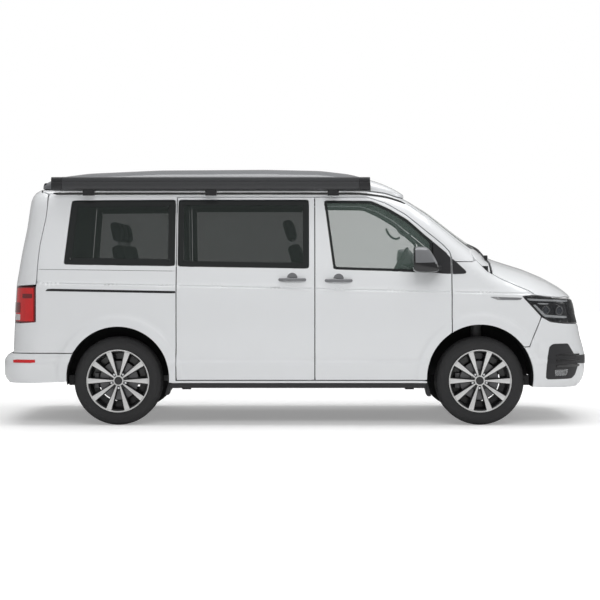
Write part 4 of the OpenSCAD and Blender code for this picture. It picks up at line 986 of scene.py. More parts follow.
# ---- nose trim ---------------------------------------------------------------------------
MESH_BLACK = finish_of("grille_black", (0.016, 0.016, 0.018), rough=0.35, scale=500, bump=0.1)
grille_loop = across(from_end(runs([(0, 1.027), (-LAMP_IN + 0.003, 1.024), (-LAMP_IN + 0.003, 0.818),
                                    (0, 0.818)]), 1))
grille = skin("grille_back", "body", NOSE_BELT, grille_loop, [MESH_BLACK], gap=0.001, r=0.006,
              depth=0.030, thick=0.02)
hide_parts("grilles")
for i, (z, h, mat) in enumerate(((1.010, 0.011, CHROME), (0.978, 0.008, CHROME), (0.944, 0.008, CHROME),
                                 (0.910, 0.008, CHROME), (0.876, 0.008, CHROME), (0.840, 0.012, CHROME))):
    slat = across(from_end(runs([(0, z + h / 2), (-LAMP_IN + 0.010, z + h / 2),
                                 (-LAMP_IN + 0.010, z - h / 2), (0, z - h / 2)]), 1))
    fitted(f"grille_slat_{i}", slat, mat, "black_plastic", chart=NOSE_BELT, r=0, depth=-0.001,
           thick=0.030, roll=0.002)
bar_low = across(np.vstack([
    from_end(runs([(0, 0.562), (-0.60, 0.562)]), 1),
    side([(FRONT + 0.80, 0.562), (FRONT + 0.80, 0.488)], -1),
    from_end(runs([(-0.60, 0.488), (0, 0.488)]), 1)]))
fitted("front_bumper_bar", bar_low, TRIM, "black_plastic", chart=NOSE_BELT, r=0.01, depth=-0.004,
       thick=0.010)
fitted("low_grille_back", across(mid_grille), MESH_BLACK, "black_plastic", chart=NOSE_BELT, gap=0.001,
       r=0.01, depth=0.02, thick=0.015)
for i in range(4):
    z = 0.385 + 0.031 * i
    slat = across(from_end(runs([(0, z + 0.005), (-0.500, z + 0.005), (-0.500, z - 0.005),
                                 (0, z - 0.005)]), 1))
    fitted(f"low_grille_slat_{i}", slat, TRIM, "black_plastic", chart=NOSE_BELT, r=0, depth=0.004,
           thick=0.018, roll=0.002)


def fog_insert(s, word):
    pocket = [(FRONT + 0.536, 0.385), (FRONT + 0.545, 0.500), (FRONT + 0.566, 0.640),
              (FRONT + 0.600, 0.664), (FRONT + 0.735, 0.664), (FRONT + 0.775, 0.600),
              (FRONT + 0.80, 0.565), (FRONT + 0.83, 0.480), (FRONT + 0.80, 0.400),
              (FRONT + 0.765, 0.372), (FRONT + 0.550, 0.372)]
    fitted(f"fog_pocket_{word}", side(closed(pocket), s), TRIM, "black_plastic", r=0.02, depth=-0.003,
           thick=0.012, roll=0.004)
    for i, z in enumerate((0.566, 0.523, 0.480)):
        rib = [(FRONT + 0.625, z + 0.012), (FRONT + 0.84, z + 0.010), (FRONT + 0.84, z - 0.010),
               (FRONT + 0.625, z - 0.008)]
        fitted(f"fog_rib_{i}_{word}", side(closed(rib), s), GLOSS_BLACK, "black_plastic", r=0.004,
               depth=-0.009, thick=0.008, roll=0.003)
    cup = [(FRONT + 0.615, 0.400), (FRONT + 0.615, 0.452), (FRONT + 0.735, 0.452), (FRONT + 0.715, 0.400)]
    fitted(f"fog_lamp_{word}", side(closed(cup), s), CHROME, "lamp", r=0.008, depth=-0.005, thick=0.006,
           roll=0.002)
    fitted(f"fog_lens_{word}", side(closed(cup), s), LENS, "lamp", r=0.008, depth=-0.0075, thick=0.002,
           roll=0.001)
    marker = [(FRONT + 0.075, 1.050), (FRONT + 0.345, 1.041), (FRONT + 0.325, 1.022),
              (FRONT + 0.135, 1.024)]
    fitted(f"wing_trim_{word}", side(closed(marker), s), SATIN_GREY, "lamp", r=0.003, depth=-0.003,
           thick=0.003, roll=0.001)
    blade = [(FRONT + 0.095, 1.046), (FRONT + 0.150, 1.044), (FRONT + 0.170, 1.027), (FRONT + 0.135, 1.027)]
    fitted(f"wing_trim_lens_{word}", side(closed(blade), s), CHROME, "lamp", r=0.002, depth=-0.0045,
           thick=0.0015, roll=0.0007)
    red = [(TAIL + 0.133, 0.536), (TAIL + 0.322, 0.536), (TAIL + 0.322, 0.510), (TAIL + 0.133, 0.510)]
    fitted(f"rear_reflector_{word}", side(closed(red), s), RED_LENS, "tail_lamp", r=0.003, depth=-0.003,
           thick=0.003, roll=0.001)


both(fog_insert)

# ---- tools for the modelled pieces -------------------------------------------------------
def fresh():
    if bpy.context.object and bpy.context.object.mode != "OBJECT":
        bpy.ops.object.mode_set(mode="OBJECT")
    bpy.ops.object.select_all(action="DESELECT")


def alone(ob):
    fresh()
    ob.select_set(True)
    bpy.context.view_layer.objects.active = ob


def finish_piece(ob, name, body, mats, smooth=40):
    """Applies the place, names the piece, smooths it and lets it ride."""
    alone(ob)
    bpy.ops.object.transform_apply(location=True, rotation=True, scale=True)
    if smooth:
        bpy.ops.object.shade_smooth_by_angle(angle=math.radians(smooth))
    ob.name = ob.data.name = name
    ob.data.materials.clear()
    for m in mats:
        ob.data.materials.append(m)
    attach(ob, body)
    return ob


def start_block(lo, hi):
    fresh()
    c = [(a + b) / 2 for a, b in zip(lo, hi)]
    bpy.ops.mesh.primitive_cube_add(size=1, location=c)
    ob = bpy.context.object
    ob.scale = [b - a for a, b in zip(lo, hi)]
    bpy.ops.object.transform_apply(location=True, rotation=True, scale=True)
    return ob


def pick(ob, test):
    """Selects, in edit mode, the faces whose middle and normal pass the test."""
    alone(ob)
    bpy.ops.object.mode_set(mode="EDIT")
    bpy.ops.mesh.select_mode(type="FACE")
    bpy.ops.mesh.select_all(action="DESELECT")
    bpy.ops.object.mode_set(mode="OBJECT")
    n = 0
    for f in ob.data.polygons:
        f.select = bool(test(f.center, f.normal))
        n += f.select
    bpy.ops.object.mode_set(mode="EDIT")
    return n


def object_mode():
    bpy.ops.object.mode_set(mode="OBJECT")


def edit_all():
    """Edit mode with every vertex picked."""
    bpy.ops.object.mode_set(mode="EDIT")
    bpy.ops.mesh.select_mode(type="VERT")
    bpy.ops.mesh.select_all(action="SELECT")


def bevelled(ob, width, segments=3):
    alone(ob)
    bpy.ops.object.mode_set(mode="EDIT")
    bpy.ops.mesh.select_all(action="SELECT")
    bpy.ops.mesh.bevel(offset=width, segments=segments, affect="EDGES", profile=0.6)
    object_mode()
    return ob


def lathe(profile, steps=64):
    """A closed outline of (radius, depth) corners, extruded corner by corner and spun about Y."""
    fresh()
    bpy.ops.mesh.primitive_plane_add(size=0.001, location=(0, 0, 0))
    ob = bpy.context.object
    edit_all()
    bpy.ops.mesh.merge(type="CENTER")
    bpy.ops.transform.translate(value=(profile[0][0], profile[0][1], 0))
    for a, b in zip(profile, profile[1:]):
        bpy.ops.mesh.extrude_vertices_move(
            TRANSFORM_OT_translate={"value": (b[0] - a[0], b[1] - a[1], 0)})
    bpy.ops.mesh.select_all(action="SELECT")
    bpy.ops.mesh.spin(steps=steps, angle=2 * math.pi, center=(0, 0, 0), axis=(0, 1, 0))
    bpy.ops.mesh.select_all(action="SELECT")
    bpy.ops.mesh.remove_doubles(threshold=0.00005)
    bpy.ops.mesh.normals_make_consistent(inside=False)
    object_mode()
    return ob


def copied(ob):
    new = ob.copy()
    new.data = ob.data.copy()
    bpy.context.collection.objects.link(new)
    return new


def joined(obs):
    fresh()
    for o in obs:
        o.select_set(True)
    bpy.context.view_layer.objects.active = obs[0]
    bpy.ops.object.join()
    return bpy.context.object


def moved(ob, matrix):
    ob.data.transform(matrix)
    return ob


def pipe(name, points, radius, body, mat, steps=6):
    """A round bar bent along a smooth line."""
    cu = bpy.data.curves.new(name, "CURVE")
    cu.dimensions = "3D"
    sp = cu.splines.new("NURBS")
    sp.points.add(len(points) - 1)
    for q, p in zip(sp.points, points):
        q.co = (*p, 1)
    sp.use_endpoint_u = True
    sp.order_u = 3
    sp.resolution_u = 6
    cu.bevel_depth = radius
    cu.bevel_resolution = steps // 2
    cu.use_fill_caps = True
    ob = bpy.data.objects.new(name, cu)
    bpy.context.collection.objects.link(ob)
    alone(ob)
    bpy.ops.object.convert(target="MESH")
    ob = bpy.context.object
    return finish_piece(ob, name, body, [mat], 60)


# ---- wheels ------------------------------------------------------------------------------
RUBBER = finish_of("tyre_rubber", (0.026, 0.026, 0.027), rough=0.72, scale=500, vary=0.10, bump=0.35,
                   distance=0.0006)
ALLOY = finish_of("turned_alloy", (0.74, 0.74, 0.735), rough=0.36, metal=0.35, scale=260, vary=0.05,
                  bump=0.03)
WHEEL_BLACK = finish_of("black_wheel_paint", (0.012, 0.012, 0.013), rough=0.30, scale=400, bump=0.05,
                        coat=0.5)
DISC = finish_of("brake_disc_iron", (0.20, 0.20, 0.205), rough=0.42, metal=0.7, scale=220, vary=0.15,
                 bump=0.15)
RIM_R = 0.259
HALF_T = 0.1175


def make_tyre():
    r = TYRE_R
    p = [(RIM_R - 0.018, -HALF_T + 0.016), (RIM_R - 0.004, -HALF_T + 0.006),
         (RIM_R + 0.012, -HALF_T + 0.005), (RIM_R + 0.020, -HALF_T + 0.0015), (RIM_R + 0.036, -HALF_T),
         (RIM_R + 0.052, -HALF_T + 0.001), (RIM_R + 0.056, -HALF_T + 0.003),
         (RIM_R + 0.062, -HALF_T + 0.003), (r - 0.030, -HALF_T + 0.009), (r - 0.016, -HALF_T + 0.019),
         (r - 0.008, -HALF_T + 0.030), (r - 0.003, -HALF_T + 0.044)]
    tread = []
    for y in (-0.052, -0.018, 0.018, 0.052):
        tread += [(r - 0.001, y - 0.006), (r - 0.008, y - 0.004), (r - 0.008, y + 0.004),
                  (r - 0.001, y + 0.006)]
    p = p + [(r - 0.0015, -0.066)] + tread + [(r - 0.0015, 0.066)] + [(a, -b) for a, b in p[::-1]]
    p += [(RIM_R - 0.024, HALF_T - 0.02), (RIM_R - 0.024, -HALF_T + 0.02)]
    ob = lathe(p + [p[0]], 120)
    for side_y in (-1, 1):
        # every third facet of the shoulders is cut in, as sipes
        def sipe(c, n):
            turn = int(round(math.atan2(c.z, c.x) / (2 * math.pi) * 120 - 0.5))
            rr = math.hypot(c.x, c.z)
            return c.y * side_y > 0.069 and rr > r - 0.022 and turn % 3 == 0
        pick(ob, sipe)
        bpy.ops.mesh.extrude_region_shrink_fatten(TRANSFORM_OT_shrink_fatten={"value": -0.004})
        object_mode()
    return ob


def make_rim():
    y = -HALF_T                      # the outer side is towards -Y
    barrel = lathe([(RIM_R - 0.018, y + 0.016), (RIM_R - 0.018, HALF_T - 0.016),
                    (RIM_R - 0.044, HALF_T - 0.016), (RIM_R - 0.040, 0.0), (RIM_R - 0.026, y + 0.036),
                    (RIM_R - 0.016, y + 0.012), (RIM_R - 0.018, y + 0.016)], 96)
    barrel.data.materials.append(WHEEL_BLACK)
    lip = lathe([(RIM_R - 0.012, y + 0.012), (RIM_R - 0.005, y + 0.004), (RIM_R - 0.003, y + 0.001),
                 (RIM_R - 0.005, y - 0.001), (RIM_R - 0.009, y + 0.000), (RIM_R - 0.013, y + 0.006),
                 (RIM_R - 0.015, y + 0.012), (RIM_R - 0.012, y + 0.012)], 120)
    lip.data.materials.append(ALLOY)
    # painted shade: a black disc behind the spokes stands in for the shadowed inside of the wheel and arch
    painted_shade_disc = lathe([(0.174, y + 0.134), (RIM_R - 0.030, y + 0.128), (RIM_R - 0.030, y + 0.132),
                    (0.174, y + 0.138), (0.174, y + 0.134)], 72)
    painted_shade_disc.data.materials.append(WHEEL_BLACK)
    parts = [barrel, lip, painted_shade_disc]
    spoke = start_block((0.040, y + 0.036, -0.020), (RIM_R - 0.014, y + 0.066, 0.020))
    alone(spoke)
    for v in spoke.data.vertices:
        inner = v.co.x < 0.1
        front = v.co.y < y + 0.05
        v.co.z = math.copysign((0.0075 if inner else 0.0250) + (0 if front else 0.006), v.co.z)
        if front:
            v.co.y = y + (0.044 if inner else 0.009)
        else:
            v.co.y = y + (0.085 if inner else 0.060)
    pick(spoke, lambda c, n: n.y < -0.8)
    bpy.ops.mesh.bevel(offset=0.003, segments=2, affect="EDGES")
    object_mode()
    spoke.data.materials.append(WHEEL_BLACK)
    spoke.data.materials.append(ALLOY)
    pick(spoke, lambda c, n: n.y < -0.93)
    bpy.context.object.active_material_index = 1
    bpy.ops.object.material_slot_assign()
    object_mode()
    for i in range(10):
        parts.append(moved(copied(spoke), Matrix.Rotation(math.radians(36 * i), 4, "Y")))
    bpy.data.objects.remove(spoke)
    hub = lathe([(0.0, y + 0.060), (0.078, y + 0.060), (0.082, y + 0.066), (0.082, y + 0.112),
                 (0.0, y + 0.112)], 60)
    hub.data.materials.append(WHEEL_BLACK)
    cap = lathe([(0.0, y + 0.038), (0.030, y + 0.038), (0.032, y + 0.040), (0.0335, y + 0.036),
                 (0.040, y + 0.036), (0.043, y + 0.040), (0.043, y + 0.062), (0.0, y + 0.062)], 60)
    cap.data.materials.append(ALLOY)
    cap.data.materials.append(WHEEL_BLACK)
    pick(cap, lambda c, n: math.hypot(c.x, c.z) < 0.0325 and c.y < y + 0.05)
    cap.active_material_index = 1
    bpy.ops.object.material_slot_assign()
    object_mode()
    parts += [hub, cap]
    fresh()
    bpy.ops.mesh.primitive_cylinder_add(vertices=6, radius=0.0105, depth=0.022,
                                        location=(0.060, y + 0.056, 0), rotation=(math.pi / 2, 0, 0))
    bolt = bpy.context.object
    bpy.ops.object.transform_apply(location=True, rotation=True, scale=True)
    pick(bolt, lambda c, n: n.y < -0.9)
    bpy.ops.mesh.inset(thickness=0.003, depth=-0.003)
    object_mode()
    bolt.data.materials.append(CHROME)
    for i in range(5):
        parts.append(moved(copied(bolt), Matrix.Rotation(math.radians(72 * i + 90), 4, "Y")))
    bpy.data.objects.remove(bolt)
    disc = lathe([(0.0, y + 0.086), (0.085, y + 0.086), (0.088, y + 0.090), (0.157, y + 0.090),
                  (0.160, y + 0.092), (0.160, y + 0.101), (0.0, y + 0.101)], 72)
    disc.data.materials.append(DISC)
    parts.append(disc)
    return joined(parts)


tyre_pattern = make_tyre()
rim_pattern = make_rim()
for end, cx in (("front", FRONT), ("rear", REAR)):
    for s, word in ((1, "left"), (-1, "right")):
        turn = Matrix.Rotation(math.pi, 4, "Z") if s > 0 else Matrix.Identity(4)
        place = Matrix.Translation((cx, s * WHEEL_Y, AXLE_Z)) @ turn
        t = moved(copied(tyre_pattern), place)
        finish_piece(t, f"tyre_tread_{end}_{word}", f"wheel_{end}_{word}", [RUBBER], 28)
        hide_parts(f"tyre_{end}_{word}")
        w = moved(copied(rim_pattern), place)
        alone(w)
        bpy.ops.object.shade_smooth_by_angle(angle=math.radians(30))
        w.name = w.data.name = f"rim_{end}_{word}"
        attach(w, f"wheel_{end}_{word}")
        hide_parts(f"wheel_{end}_{word}")
bpy.data.objects.remove(tyre_pattern)
bpy.data.objects.remove(rim_pattern)


# ---- mirrors, handles --------------------------------------------------------------------
def mirror(s, word):
    body = f"front_door_{word}"
    lo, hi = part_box(f"mirror_{word}")
    y0, y1 = (HALF_W + 0.028, HALF_W + 0.195) if s > 0 else (-HALF_W - 0.195, -HALF_W - 0.028)
    shell = start_block((lo[0], y0, lo[2]), (hi[0] - 0.012, y1, hi[2]))
    alone(shell)
    for v in shell.data.vertices:
        front = v.co.x > (lo[0] + hi[0]) / 2
        top_v = v.co.z > (lo[2] + hi[2]) / 2
        far = abs(v.co.y) > HALF_W + 0.10
        if front and top_v:
            v.co.x -= 0.095
        if front:
            v.co.y += s * (0.020 if not far else -0.035)
        if far and top_v:
            v.co.z -= 0.012
    bpy.ops.object.mode_set(mode="EDIT")
    bpy.ops.mesh.select_all(action="SELECT")
    bpy.ops.mesh.subdivide(number_cuts=3, smoothness=0.35)
    object_mode()
    rounding = shell.modifiers.new("round", "SUBSURF")
    rounding.levels = rounding.render_levels = 2
    bpy.ops.object.modifier_apply(modifier="round")
    pick(shell, lambda c, n: n.x < -0.80)
    bpy.ops.mesh.inset(thickness=0.006, depth=-0.010)
    object_mode()
    finish_piece(shell, f"mirror_shell_{word}", body, [SATIN_GREY, GLOSS_BLACK, MIRROR], 50)
    for f in shell.data.polygons:
        low = f.center.z < lo[2] + 0.062
        if f.normal.x < -0.80 and f.center.x < lo[0] + 0.03:
            f.material_index = 2
        elif low or f.normal.x < -0.35:
            f.material_index = 1
    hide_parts(f"mirror_{word}")
    arm = start_block((lo[0] + 0.13, min(s * (HALF_W - 0.045), s * (HALF_W + 0.06)), lo[2] + 0.003),
                      (hi[0] + 0.006, max(s * (HALF_W - 0.045), s * (HALF_W + 0.06)), lo[2] + 0.040))
    bevelled(arm, 0.008, 3)
    finish_piece(arm, f"mirror_arm_{word}", body, [TRIM])


MIRROR = finish_of("mirror_silvering", (0.75, 0.77, 0.78), rough=0.03, metal=1.0, vary=0.01,
                   rough_vary=0.0, bump=0.0)
both(mirror)


def handle(s, word, x0, x1, z, body, tag):
    """A pull bar on two feet over a round escutcheon."""
    y = float(abs(from_side([((x0 + x1) / 2, z)], s)[0, 1]))
    mid = (x0 + x1) / 2
    bar = pipe(f"{tag}_bar_{word}", [(x0, s * (y - 0.004), z), (x0 + 0.012, s * (y + 0.016), z),
                                      (mid, s * (y + 0.021), z + 0.001), (x1 - 0.012, s * (y + 0.016), z),
                                      (x1, s * (y - 0.004), z)], 0.0135, body, SATIN_GREY,
               10)
    turn = np.linspace(0, 2 * math.pi, 48)
    cup = [(mid + 0.047 * math.cos(t), z + 0.012 + 0.050 * math.sin(t)) for t in turn]
    fitted(f"{tag}_cup_{word}", side(cup, s), PAINT, "paint", body=body, r=0, depth=-0.004, thick=0.004,
           roll=0.004)
    dome_top = [(mid + 0.043 * math.cos(t),
                 z + 0.014 + 0.043 * math.sin(t)) for t in np.linspace(0, math.pi, 24)]
    fitted(f"{tag}_grip_{word}", side(closed(dome_top), s), SATIN_GREY, "mirror_case", body=body,
           r=0.003, depth=-0.010, thick=0.006, roll=0.005)
    return bar


both(lambda s, word: handle(s, word, PILLAR_B + 0.092, PILLAR_B + 0.296, 1.181, f"front_door_{word}",
                            "front_handle"))
handle(-1, "right", PILLAR_B - 0.286, PILLAR_B - 0.082, 1.188, "body", "slider_handle")

# ---- awning ------------------------------------------------------------------------------
lo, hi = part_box("awning_case")
case_low = ROOF_Z - 0.025
CAP = 0.088


def awning_section(x0, x1, grow):
    """The case's section, extruded along the van: a fat rounded front and a lip at the top."""
    y0, y1 = lo[1] - grow, hi[1] + grow * 0.5
    z0, z1 = case_low - grow, hi[2] + grow
    fresh()
    bpy.ops.mesh.primitive_plane_add(size=0.001, location=(x0, y0 + 0.020, z0 + 0.004))
    ob = bpy.context.object
    bpy.ops.object.transform_apply(location=True)
    edit_all()
    bpy.ops.mesh.merge(type="CENTER")
    line = [(0.020, 0.004), (0.008, 0.012), (0.0015, 0.026), (0.0, 0.045), (0.0015, 0.064),
            (0.004, 0.070), (0.0075, 0.0705), (0.0075, 0.0745), (0.004, 0.075), (0.0055, 0.090),
            (0.012, 0.102), (0.026, 0.1095)]
    prev = line[0]
    for q in line[1:]:
        bpy.ops.mesh.extrude_vertices_move(TRANSFORM_OT_translate={"value": (0, q[0] - prev[0],
                                                                             q[1] - prev[1])})
        prev = q
    for q in ((y1 - y0, 0.1095), (y1 - y0, 0.010), (y1 - y0 - 0.02, 0.0)):
        bpy.ops.mesh.extrude_vertices_move(TRANSFORM_OT_translate={"value": (0, q[0] - prev[0],
                                                                             q[1] - prev[1])})
        prev = q
    bpy.ops.mesh.select_all(action="SELECT")
    bpy.ops.mesh.edge_face_add()
    bpy.ops.mesh.extrude_region_move(TRANSFORM_OT_translate={"value": (x1 - x0, 0, 0)})
    bpy.ops.mesh.select_all(action="SELECT")
    bpy.ops.mesh.normals_make_consistent(inside=False)
    object_mode()
    return ob


case = finish_piece(awning_section(lo[0] + CAP, hi[0] - CAP, 0.0), "awning_profile", "body", [AWNING],
                    25)
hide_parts("awning_case")
for tag, a, b in (("rear", lo[0], lo[0] + CAP - 0.002), ("front", hi[0] - CAP + 0.002, hi[0])):
    cap = awning_section(a, b, 0.0015)
    bevelled_mod = cap.modifiers.new("edge", "BEVEL")
    bevelled_mod.width = 0.006
    bevelled_mod.segments = 3
    bevelled_mod.limit_method = "ANGLE"
    alone(cap)
    bpy.ops.object.modifier_apply(modifier="edge")
    finish_piece(cap, f"awning_end_{tag}", "body", [TRIM], 35)
for i in range(3):
    x = (lo[0] + 0.300, (lo[0] + hi[0]) / 2, hi[0] - 0.300)[i]
    foot = start_block((x - 0.045, -HALF_W + 0.075, ROOF_Z - 0.066),
                       (x + 0.045, -HALF_W + 0.150, case_low + 0.012))
    pick(foot, lambda c, n: n.y < -0.9)
    bpy.ops.mesh.inset(thickness=0.006, depth=-0.004)
    object_mode()
    finish_piece(foot, f"awning_foot_{i}", "body", [TRIM])

# ---- roof edge strips and rails ----------------------------------------------------------
def roof_strip(s, word):
    x0, x1 = TAIL + 0.440, FRONT - 0.60
    strip = np.vstack([from_above(runs([(x0, s * (RAIL_Y - 0.004)), (x1, s * (RAIL_Y - 0.004))], 0.03)),
                       from_above(runs([(x1, s * (RAIL_Y + 0.010)), (x0, s * (RAIL_Y + 0.010))], 0.03))])
    ob = fitted(f"roof_strip_{word}", strip, SEAL, "black_plastic", chart=TOP, r=0, depth=-0.007,
                thick=0.012, roll=0.003)
    if s > 0:
        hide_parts("roof_rails")


both(roof_strip)
RAIL_END = PILLAR_C - 0.005
rail_loop = [(TAIL + 0.389, 1.096), (TAIL + 0.430, 1.1155), (RAIL_END, 1.0960), (RAIL_END, 1.0770)]
slide_rail = fitted("slide_rail", side(closed(rail_loop), -1), TRIM, "black_plastic", r=0.002,
                    depth=-0.002, thick=0.003, roll=0.001)
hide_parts("door_rail")
slot_loop = [(TAIL + 0.425, 1.1015), (TAIL + 0.435, 1.1095), (PILLAR_C - 0.008, 1.0905),
             (PILLAR_C - 0.008, 1.0825)]
fitted("slide_rail_slot", side(closed(slot_loop), -1), SEAL, "black_plastic", r=0.001, depth=-0.0028,
       thick=0.0008, roll=0.0003)

# ---- lifting roof ------------------------------------------------------------------------
POP_W = 0.740
pop_top = eased([(-2.110, ROOF_Z + 0.050), (-2.09, ROOF_Z + 0.062), (TAIL + 0.450, ROOF_Z + 0.105),
                 (TAIL + 0.70, ROOF_Z + 0.140), (REAR + 0.30, ROOF_Z + 0.168),
                 (REAR + 1.2, ROOF_Z + 0.174), (FRONT - 1.3, ROOF_Z + 0.164),
                 (FRONT - 1.05, ROOF_Z + 0.134), (FRONT - 0.834, ROOF_Z + 0.072),
                 (FRONT - 0.74, ROOF_Z + 0.036), (FRONT - 0.654, ROOF_Z - 0.006),
                 (FRONT - 0.600, ROOF_Z - 0.040)], 0.03)
pop_half = eased([(-2.112, POP_W - 0.10), (-2.05, POP_W - 0.03), (-1.95, POP_W - 0.004), (-1.8, POP_W),
                  (FRONT - 1.0, POP_W), (FRONT - 0.80, POP_W - 0.025), (FRONT - 0.66, POP_W - 0.085),
                  (FRONT - 0.595, POP_W - 0.20)], 0.02)


def pop_shell(name, x0, x1, mats, tag):
    """A length of the lifting roof: arched sections one behind another, with a wall inside."""
    xs = np.linspace(x0, x1, max(6, int(abs(x1 - x0) / 0.03)))
    n = 49
    a = np.linspace(0, math.pi, n)
    verts = []
    for x in xs:
        w, top_z = float(pop_half(x)), float(pop_top(x))
        foot = float(from_above([(x, w)])[0, 2]) + 0.008
        c, s = np.cos(a), np.sin(a)
        y = w * np.sign(c) * np.abs(c) ** 0.42
        z = foot + (top_z - foot) * np.abs(s) ** 0.62
        verts += [(x, yy, zz) for yy, zz in zip(y, z)]
    rows = len(xs)
    faces = [(i * n + j, i * n + j + 1, (i + 1) * n + j + 1, (i + 1) * n + j)
             for i in range(rows - 1) for j in range(n - 1)]
    for i in (0, rows - 1):
        ring = [i * n + j for j in range(n)]
        if (i == 0 and tag == "rear") or (i > 0 and tag == "front"):
            faces.append(tuple(ring if i else ring[::-1]))
    ob = mesh_piece(name, verts, faces, "pop_roof", mats)
    alone(ob)
    bpy.ops.object.mode_set(mode="EDIT")
    bpy.ops.mesh.select_all(action="SELECT")
    bpy.ops.mesh.normals_make_consistent(inside=False)
    object_mode()
    up = sum(f.normal.z * f.area for f in ob.data.polygons)
    if up < 0:
        ob.data.flip_normals()
    wall = ob.modifiers.new("wall", "SOLIDIFY")
    wall.thickness = 0.016
    wall.offset = -1
    wall.use_even_offset = False
    bpy.ops.object.modifier_apply(modifier="wall")
    bpy.ops.object.shade_smooth_by_angle(angle=math.radians(45))
    return ob


CAP_X = FRONT - 0.885
pop = pop_shell("lifting_roof_shell", -2.108, CAP_X - 0.003, [ROOF_GREY], "rear")
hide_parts("pop_roof")
nose_cap = pop_shell("lifting_roof_nose", CAP_X, FRONT - 0.604, [PAINT], "front")
# a moulded lip along the tail
pipe("lifting_roof_lip", [(-2.085, -0.64, ROOF_Z + 0.030), (-2.112, -0.55, ROOF_Z + 0.034),
                                (-2.118, 0, ROOF_Z + 0.036), (-2.112, 0.55, ROOF_Z + 0.034),
                                (-2.085, 0.64, ROOF_Z + 0.030)], 0.016, "pop_roof", TRIM, 8)

# ---- canvas of the lifting roof ----------------------------------------------------------
cx0, cx1, cy = TAIL + 0.512, FRONT - 1.052, POP_W - 0.052
FOLDS = 26


def canvas_ring(inset, step=0.03):
    pts = [(cx0 + inset, -cy + inset), (cx1 - inset, -cy + inset), (cx1 - inset, cy - inset),
           (cx0 + inset, cy - inset)]
    return softened(np.array(runs(closed(pts), step)), 0.05)


base_ring = canvas_ring(0.0)
mid_ring = np.array([(cx0 + cx1) / 2, 0.0])
inward = np.array([np.clip(mid_ring[0] - base_ring[:, 0], -0.5, 0.5), -base_ring[:, 1]]).T
inward /= np.linalg.norm(inward, axis=1, keepdims=True)
reach = np.clip((base_ring[:, 0] - (TAIL + 0.385)) * 0.36 / FOLDS, 0.003, 0.040)
verts, n = [], len(base_ring)
for k in range(FOLDS + 1):
    z = ROOF_Z + 0.006 + 0.022 * k / FOLDS
    soft = 1 + 0.12 * np.sin(np.arange(n) * 0.7 + k * 2.1)
    off = inward * (reach * soft * (k % 2))[:, None]
    p = base_ring + off
    verts += [(a, b, z) for a, b in p]
faces = [(k * n + i, k * n + (i + 1) % n, (k + 1) * n + (i + 1) % n, (k + 1) * n + i)
         for k in range(FOLDS) for i in range(n)]
canvas = mesh_piece("roof_canvas_bellows", verts, faces, None, [CANVAS])
canvas.data.polygons.foreach_set("use_smooth", [True] * len(faces))
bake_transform(canvas)
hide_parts("roof_canvas")

# ---- cabin -------------------------------------------------------------------------------
SEAT_CLOTH = finish_of("woven_seat_cloth", (0.045, 0.047, 0.050), rough=0.88, scale=900, vary=0.14,
                       bump=0.6, distance=0.0007, sheen=0.25)
DASH = finish_of("soft_dashboard_plastic", (0.035, 0.036, 0.039), rough=0.62, scale=1500, bump=0.5,
                 distance=0.0003)


def pad(name, lo, hi, mats, crown=0.018, edge=0.030, lean=0.0, pivot=None):
    """A stuffed pad: a block with softened edges, crowned, leaned back about a pivot line."""
    ob = start_block(lo, hi)
    bevelled(ob, edge, 3)
    alone(ob)
    bpy.ops.object.mode_set(mode="EDIT")
    bpy.ops.mesh.select_all(action="SELECT")
    bpy.ops.mesh.subdivide(number_cuts=3, smoothness=0.0)
    object_mode()
    c = np.array([(a + b) / 2 for a, b in zip(lo, hi)])
    h = np.array([(b - a) / 2 for a, b in zip(lo, hi)])
    thin = int(np.argmin(h))
    others = [i for i in range(3) if i != thin]
    for v in ob.data.vertices:
        u = (np.array(v.co) - c) / h
        bulge = (1 - u[others[0]] ** 2) * (1 - u[others[1]] ** 2)
        v.co[thin] += crown * bulge * (1 if u[thin] > 0 else -0.3)
        for i in others:
            v.co[i] -= 0.012 * u[i] * (1 - bulge) * abs(u[thin]) ** 2
        channel = abs((u[others[0]] * 0.5 + 0.5) * 5 % 1 - 0.5) if h[others[0]] > 0.2 else 1
        if channel < 0.06 and u[thin] > 0.6 and abs(u[others[1]]) < 0.8:
            v.co[thin] -= 0.004
    sub = ob.modifiers.new("soft", "SUBSURF")
    sub.levels = sub.render_levels = 1
    bpy.ops.object.modifier_apply(modifier="soft")
    if lean:
        ob.data.transform(Matrix.Translation(pivot) @ Matrix.Rotation(math.radians(-lean), 4, "Y")
                          @ Matrix.Translation([-v for v in pivot]))
    finish_piece(ob, name, "body", mats, 60)
    return ob


